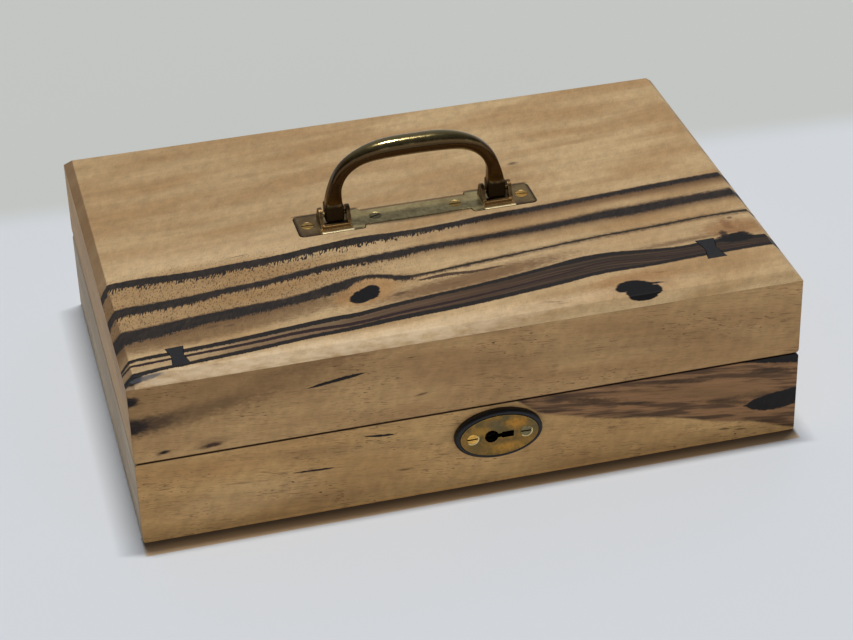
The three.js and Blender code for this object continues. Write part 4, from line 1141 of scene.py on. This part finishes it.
def handle_pins():
    """The two pins of the bail, with low domes on their ends."""
    for side in SIDES:
        node = f"handle_pin_{side}"
        half, _, radius = half_size(node)
        angles = [math.pi / 2 * k / 6 for k in range(7)]
        ends = [(max(radius * math.sin(angle), ON_AXIS), half - PIN_DOME * (1 - math.cos(angle)))
                for angle in angles]
        bm = lathe([(r, -h) for r, h in ends] + ends[::-1], PIN_SIDES)
        bmesh.ops.rotate(bm, matrix=Matrix.Rotation(math.pi / 2, 3, "Y"), verts=bm.verts)
        bmesh.ops.translate(bm, vec=middle(node), verts=bm.verts)
        make_piece(f"bail_pin_{side}", bm, "lid", [PIN_BRASS], node)


# Screws: part of their names, out direction, cone depth, shank radius, slot width and depth
SCREWS = [
    ("handle_screw", UP, 1.6, 1.4, 0.8, 0.8),
    ("escutcheon_screw", FRONT, 1.2, 1.1, 0.7, 0.6),
    ("lock_screw_plate", -FRONT, 1.0, 1.0, 0.6, 0.5),
    ("lock_screw_rim", UP, 1.0, 1.0, 0.6, 0.5),
    ("link_screw", -UP, 1.0, 1.0, 0.6, 0.5),
    ("body_screw", UP, 0.9, 0.8, 0.5, 0.4),
    ("lid_screw", -UP, 0.9, 0.8, 0.5, 0.4),
]
# How far the slots of the screws in sight are turned, in degrees
SLOT_TURNS = {
    "handle_screw_1": -4, "handle_screw_2": 20, "handle_screw_3": -2, "handle_screw_4": -10,
    "escutcheon_screw_left": 0, "escutcheon_screw_right": -2,
}
CROWN = 0.14
SCREW_EDGE = 0.07
SCREW_SIDES = 40


def screw_bmesh(head, cone, shank, length, slot, cut):
    """A slotted countersunk screw whose crown touches z 0, pointing up."""
    crown = [(head * (1 - k / 6), -CROWN * (1 - k / 6) ** 2) for k in range(1, 6)]
    point = [(ON_AXIS, -length), (shank * 0.4, -length + shank * 0.8), (shank, -length + shank * 2.2)]
    rim = [(head - 0.04, -CROWN - 0.12), (head, -CROWN - 0.04), (head - 0.06, -CROWN)]
    bm = lathe([*point, (shank, -cone), *rim, *crown, (ON_AXIS, 0)], SCREW_SIDES)
    bmesh.ops.recalc_face_normals(bm, faces=bm.faces)
    half, reach = slot / 2, head + 1
    slot_box = prism([(-reach, -half), (reach, -half), (reach, half), (-reach, half)], "z", -cut, 1)
    return combine(bm, [slot_box], "DIFFERENCE")


def screws():
    finishes = {"handle_screw_2": DULL_BRASS, "escutcheon_screw_right": DULL_BRASS,
                "escutcheon_screw_left": BRIGHT_BRASS, "handle_screw_4": BRIGHT_BRASS}
    for start, out, cone, shank, slot, cut in SCREWS:
        turn = out.to_track_quat("Z", "Y").to_matrix().to_4x4() if out != UP else Matrix.Identity(4)
        for name in sorted(name for name in nodes if start in name):
            low, high = corners(name)
            size = high - low
            length = abs(size.dot(out))
            head = max(c for c, axis in zip(size, out) if not axis) / 2
            place = (low + high) / 2 + out * length / 2
            bm = screw_bmesh(head, cone, shank, length, slot, cut)
            spin = Matrix.Rotation(math.radians(SLOT_TURNS.get(name, 0)), 4, "Z")
            bmesh.ops.transform(bm, matrix=Matrix.Translation(place) @ turn @ spin, verts=bm.verts)
            materials = [finishes.get(name, SCREW_BRASS), SLOT_BLACK]
            piece = make_piece(f"slotted_{name}", bm, nodes[name]["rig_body"], materials, name)
            # The slot's own faces are black.
            top = place * MM
            for face in piece.data.polygons:
                sunk = (top - face.center).dot(out) / MM
                across = (face.center - top - out * (face.center - top).dot(out)).length / MM
                if 0.2 < sunk < cut + 0.01 and across < head * 0.97:
                    face.material_index = 1
            bevel(piece, SCREW_EDGE, angle=40, segments=2)


# Escutcheon
KEYHOLE_SHIFT = 3.6
KEYHOLE_RADIUS = 3.15
NECK_HEIGHT = 2.1
NECK_REACH = 4.7
WARD_HEIGHT = 3.1
KEYHOLE_REACH = 10.1
BOSS_ROUND = 1.6
LIP_ROOM = 0.22
BOSS_EDGE = 0.15
BOSS_SIDES = 96
OVAL_EDGE = 0.28
OVAL_SIDES = 120


def keyhole(low, high, grow):
    """A round hole, a narrow neck and a wider slot for the bit, as one solid along Y."""
    x, z = OVAL_MIDDLE.x - KEYHOLE_SHIFT, OVAL_MIDDLE.z
    neck, ward = NECK_HEIGHT / 2 + grow, WARD_HEIGHT / 2 + grow
    radius = KEYHOLE_RADIUS + grow
    open_angle = math.asin(neck / radius)
    points = []
    for k in range(33):
        angle = open_angle + (TURN - 2 * open_angle) * k / 32
        points.append((x + radius * math.cos(angle), z + radius * math.sin(angle)))
    start, end = x + NECK_REACH - grow, x + KEYHOLE_REACH + grow
    points += [(start, z - neck), (start, z - ward), (end, z - ward), (end, z + ward), (start, z + ward),
               (start, z + neck)]
    return prism(points, "y", low, high)


def boss_rings():
    """The boss from its back to its rounded front and on into the recess of the oval plate."""
    half_x, _, half_z = half_size("escutcheon_boss")
    lip_x, lip_z = [size + LIP_ROOM for size in half_size("escutcheon_plate")[::2]]
    floor = OVAL_HIGH.y + 0.1
    rows = [(half_x - 1, half_z - 1, BOSS_HIGH.y), (half_x, half_z, BOSS_HIGH.y),
            (half_x, half_z, BOSS_LOW.y + BOSS_ROUND + 0.4)]
    for k in range(9):
        angle = math.pi / 2 * k / 8
        inset = BOSS_ROUND * (1 - math.cos(angle))
        rows.append((half_x - inset, half_z - inset, BOSS_LOW.y + BOSS_ROUND * (1 - math.sin(angle))))
    rows += [(lip_x + 0.12, lip_z + 0.12, BOSS_LOW.y), (lip_x, lip_z, BOSS_LOW.y + 0.12),
             (lip_x, lip_z, floor), (lip_x - 1, lip_z - 1, floor)]
    return [[Vector((x, y, z)) for x, z in ellipse(OVAL_MIDDLE.x, OVAL_MIDDLE.z, wide, tall, BOSS_SIDES)]
            for wide, tall, y in rows]


def escutcheon():
    boss = loft(boss_rings())
    bmesh.ops.recalc_face_normals(boss, faces=boss.faces)
    boss = combine(boss, [keyhole(BOSS_LOW.y - 2, BOSS_HIGH.y + 2, grow=0.7)], "DIFFERENCE")
    boss = make_piece("oval_boss", boss, "case", [ebony_material("ebony_boss", "xzy")],
                      "escutcheon_boss")
    bevel(boss, BOSS_EDGE, angle=50, segments=2)

    half_x, _, half_z = half_size("escutcheon_plate")
    outline = ellipse(OVAL_MIDDLE.x, OVAL_MIDDLE.z, half_x, half_z, OVAL_SIDES)
    cuts = [keyhole(OVAL_LOW.y - 2, OVAL_HIGH.y + 2, grow=0)]
    cuts += [screw_hole(f"escutcheon_screw_{side}", FRONT, cone=1.2, depth=3, level=OVAL_LOW.y)
             for side in SIDES]
    plate = combine(prism(outline, "y", OVAL_LOW.y, OVAL_HIGH.y), cuts, "DIFFERENCE")
    finishes = [oval_material("mottled_brass"), oval_material("mottled_brass_edges", True)]
    plate = make_piece("oval_plate", plate, "case", finishes, "escutcheon_plate")
    bevel(plate, OVAL_EDGE, worn=1)


# Butterfly keys: turn in degrees, width and length
KEYS = {"left": (4, 8, 14.2), "right": (1, 9, 16.4)}
KEY_WAIST = 5.4
KEY_HOLLOW = 1.45
KEY_PROUD = 0.03


def butterfly_keys():
    for side, (turn, width, length) in KEYS.items():
        node = f"butterfly_key_{side}"
        low, high = corners(node)
        edge = []
        for k in range(25):
            share = 2 * k / 24 - 1
            flare = (width - KEY_WAIST) / 2 * abs(share) ** KEY_HOLLOW
            edge.append((KEY_WAIST / 2 + flare, share * length / 2))
        points = edge + [(-x, -y) for x, y in edge]
        spin = Matrix.Rotation(math.radians(turn), 2)
        outline = [tuple(spin @ Vector(point) + middle(node).xy) for point in points]
        bm = prism(outline, "z", low.z, high.z + KEY_PROUD)
        ebony = ebony_material(f"ebony_key_{side}", "yxz")
        make_piece(f"bow_tie_{side}", bm, "lid", [ebony], node, smooth=False)


# What stays a CAD node. The bore is the hole behind the keyhole, painted nearly black as painted shade, given
# by its middle and radius.
FRONT_LOOK = dict(axes="xzy", pale=FRONT_PALE, golden=FRONT_GOLDEN, slope=0.1, stroke=0.12, seam=True,
                  thread=0.9)
PLAIN_LOOK = dict(dashes=0.3, seam=True)
END_LOOK = dict(PLAIN_LOOK, axes="yzx", pale=FRONT_PALE, golden=FRONT_GOLDEN)
BOARDS = {
    "lid_top": dict(axes="xyz", seed=3, streaks=TOP_STREAKS, spots=TOP_SPOTS, top=True, slope=-0.08),
    "lid_front": dict(FRONT_LOOK, seed=21, streaks=LID_FRONT_STREAKS, spots=LID_FRONT_SPOTS, dashes=0.4),
    "body_front": dict(FRONT_LOOK, seed=37, streaks=BODY_FRONT_STREAKS, spots=BODY_FRONT_SPOTS,
                       zone=BODY_FRONT_ZONE, pale=BODY_PALE, golden=BODY_GOLDEN, dashes=0.42,
                       shaded_bore=((OVAL_MIDDLE.x, OVAL_MIDDLE.z), 10)),
    "lid_left": dict(END_LOOK, seed=51),
    "body_left": dict(END_LOOK, seed=61, pale=END_PALE, golden=END_GOLDEN),
    "lid_right": dict(END_LOOK, seed=71),
    "body_right": dict(END_LOOK, seed=81),
    "lid_back": dict(PLAIN_LOOK, axes="xzy", seed=91),
    "body_back": dict(PLAIN_LOOK, axes="xzy", seed=101),
    "body_bottom": dict(axes="xyz", seed=111),
}


def show_node(name, material):
    for slot in nodes[name].material_slots:
        slot.link = "OBJECT"
        slot.material = material


def boards():
    for name, look in BOARDS.items():
        show_node(name, streaked_wood(f"wood_{name}", **look))


def hardware():
    """The hinges, the lock and the link plate. Their screws are pieces of their own."""
    for name in nodes:
        if name in ("lock_key_pin", "lock_bolt", "lock_spring"):
            show_node(name, STEEL)
        elif name.startswith(("hinge", "lock", "link")) and "screw" not in name:
            show_node(name, LEAF_BRASS)


# Floor, world and lamp
FLOOR_COLOUR = (214, 220, 228)
FAR_COLOUR = (199, 203, 202)
FLOOR_SIZE = 9000
FLOOR_DROP = 0.05
# Two points of the line where the floor's colour turns into that of the wall, and half its softness
EDGE_FROM, EDGE_TO = (-180, 201), (296, 171)
EDGE_FADE = 16
# Painted shadow and painted reflection of the front board on the floor: its brown close to the front and
# further out, how far it reaches, and how much less far it does for each millimetre to the right
SHADE_REFLECTION_NEAR = (111, 100, 86)
SHADE_REFLECTION_FAR = (195, 171, 140)
SHADE_REFLECTION_REACH = 8.6
SHADE_REFLECTION_LEAN = 0.008
# The light of the room, and what each direction adds to it: axis, where it sets in and is full, amount
ROOM_LIGHT = 0.05
SKY_LIGHTS = [("z", 0.2, 1, 0.06), ("y", 0, 0.9, 0.3)]
# Lights that reach up from the horizon, and the heights where they end
SIDE_LIGHTS = [("y", 0, -0.6, 1.0), ("x", 0, 0.9, 0.35)]
SIDE_HEIGHT = (0.5, 0.22)
LIGHT_COLOUR = (246, 249, 255)
LAMP_COLOUR = (255, 252, 247)
LAMP_POWER = 280
LAMP_SIZE = (1300, 130)
LAMP_PLACE = (190, 564, 6000)


def add_floor():
    graph = new_graph("floor")
    x, y, _ = graph.place()
    (x0, y0), (x1, y1) = EDGE_FROM, EDGE_TO
    slope = (y1 - y0) / (x1 - x0)
    behind = (y - y0 - (x - x0) * slope).step(-EDGE_FADE, EDGE_FADE)
    grain = graph.noise((60, 60, 60), (x, y, y * 0), seed=7)
    # A painted shadow and painted reflection of the front board on the floor, in front of the chest
    ahead = y * -1 - HALF_DEPTH
    shade_reflection_colour = graph.mix(ahead.step(0.5, SHADE_REFLECTION_REACH - 1.5), SHADE_REFLECTION_NEAR, SHADE_REFLECTION_FAR)
    close = (ahead + x * SHADE_REFLECTION_LEAN).step(SHADE_REFLECTION_REACH, SHADE_REFLECTION_REACH - 1) * ahead.step(-5, -4)
    shade_reflection_mask = close * abs(x).step(HALF_WIDTH + 1, HALF_WIDTH - 1)
    colour = graph.layers(FLOOR_COLOUR, (behind, FAR_COLOUR), (shade_reflection_mask, shade_reflection_colour))
    material = graph.finish(colour, 0.4 + grain * 0.06, Specular_IOR_Level=0.2)
    half = FLOOR_SIZE * MM / 2
    bm = bmesh.new()
    bm.faces.new([bm.verts.new((side_x * half, side_y * half, -FLOOR_DROP * MM))
                  for side_x, side_y in ((-1, -1), (1, -1), (1, 1), (-1, 1))])
    floor = add_object("floor", to_mesh("floor", bm))
    floor.data.materials.append(material)


def add_world():
    """A dim room, brighter in front and at the right. The camera sees it as a pale wall."""
    world = bpy.data.worlds.new("room")
    bpy.context.scene.world = world
    graph = Graph(world, "Background")
    axes = dict(zip("xyz", graph.coordinates("Generated")))

    def rise(axis, low, high, amount):
        return graph.spread(axes[axis], low, high, 0, amount)

    near_horizon = rise("z", *SIDE_HEIGHT, 1)
    strength = ROOM_LIGHT
    for light in SKY_LIGHTS:
        strength = graph.math("ADD", strength, rise(*light))
    for light in SIDE_LIGHTS:
        strength = strength + near_horizon * rise(*light)
    seen = graph.node("ShaderNodeLightPath", {}).outputs["Is Camera Ray"]
    level = graph.node("ShaderNodeMix", {0: seen, 2: strength, 3: 1.0}, data_type="FLOAT")
    graph.feed(graph.shader.inputs["Color"], graph.mix(seen, LIGHT_COLOUR, FAR_COLOUR))
    graph.feed(graph.shader.inputs["Strength"], level.outputs[0])


def add_lamp():
    data = bpy.data.lights.new("ceiling_lamp", "AREA")
    data.shape = "RECTANGLE"
    data.size, data.size_y = [side * MM for side in LAMP_SIZE]
    data.energy = LAMP_POWER
    data.color = paint(*LAMP_COLOUR)[:3]
    lamp = add_object("ceiling_lamp", data)
    lamp.location = Vector(LAMP_PLACE) * MM
    lamp.rotation_euler = Vector(LAMP_PLACE).to_track_quat("Z", "Y").to_euler()


add_camera()
bpy.context.scene.view_settings.view_transform = "Standard"

# Name, size of the patches, least roughness, seed, and the clean, toned and patinated colours
PIN_BRASS = metal("pin_brass", 2, 0.36, 15, (150, 128, 80), (124, 104, 64), (80, 66, 42))
SCREW_BRASS = metal("screw_brass", 3, 0.27, 17, (208, 170, 92), (182, 144, 76), (128, 104, 62))
DULL_BRASS = metal("dull_brass", 3, 0.4, 19, (146, 134, 98), (124, 114, 84), (92, 84, 62))
LEAF_BRASS = metal("leaf_brass", 9, 0.32, 23, (198, 164, 96), (176, 142, 82), (132, 108, 68))
BRIGHT_BRASS = metal("bright_brass", 3, 0.25, 27, (250, 200, 104), (226, 172, 84), (150, 112, 60))
SLOT_BLACK = metal("slot_black", 3, 0.6, 29, (20, 16, 12), (16, 13, 10), (12, 10, 8))
STEEL = metal("bright_steel", 6, 0.3, 95, (168, 170, 172), (150, 150, 150), (124, 122, 118))

boards()
bail()
handle_plate()
handle_pins()
screws()
escutcheon()
butterfly_keys()
hardware()
add_floor()
add_world()
add_lamp()

bpy.context.view_layer.update()
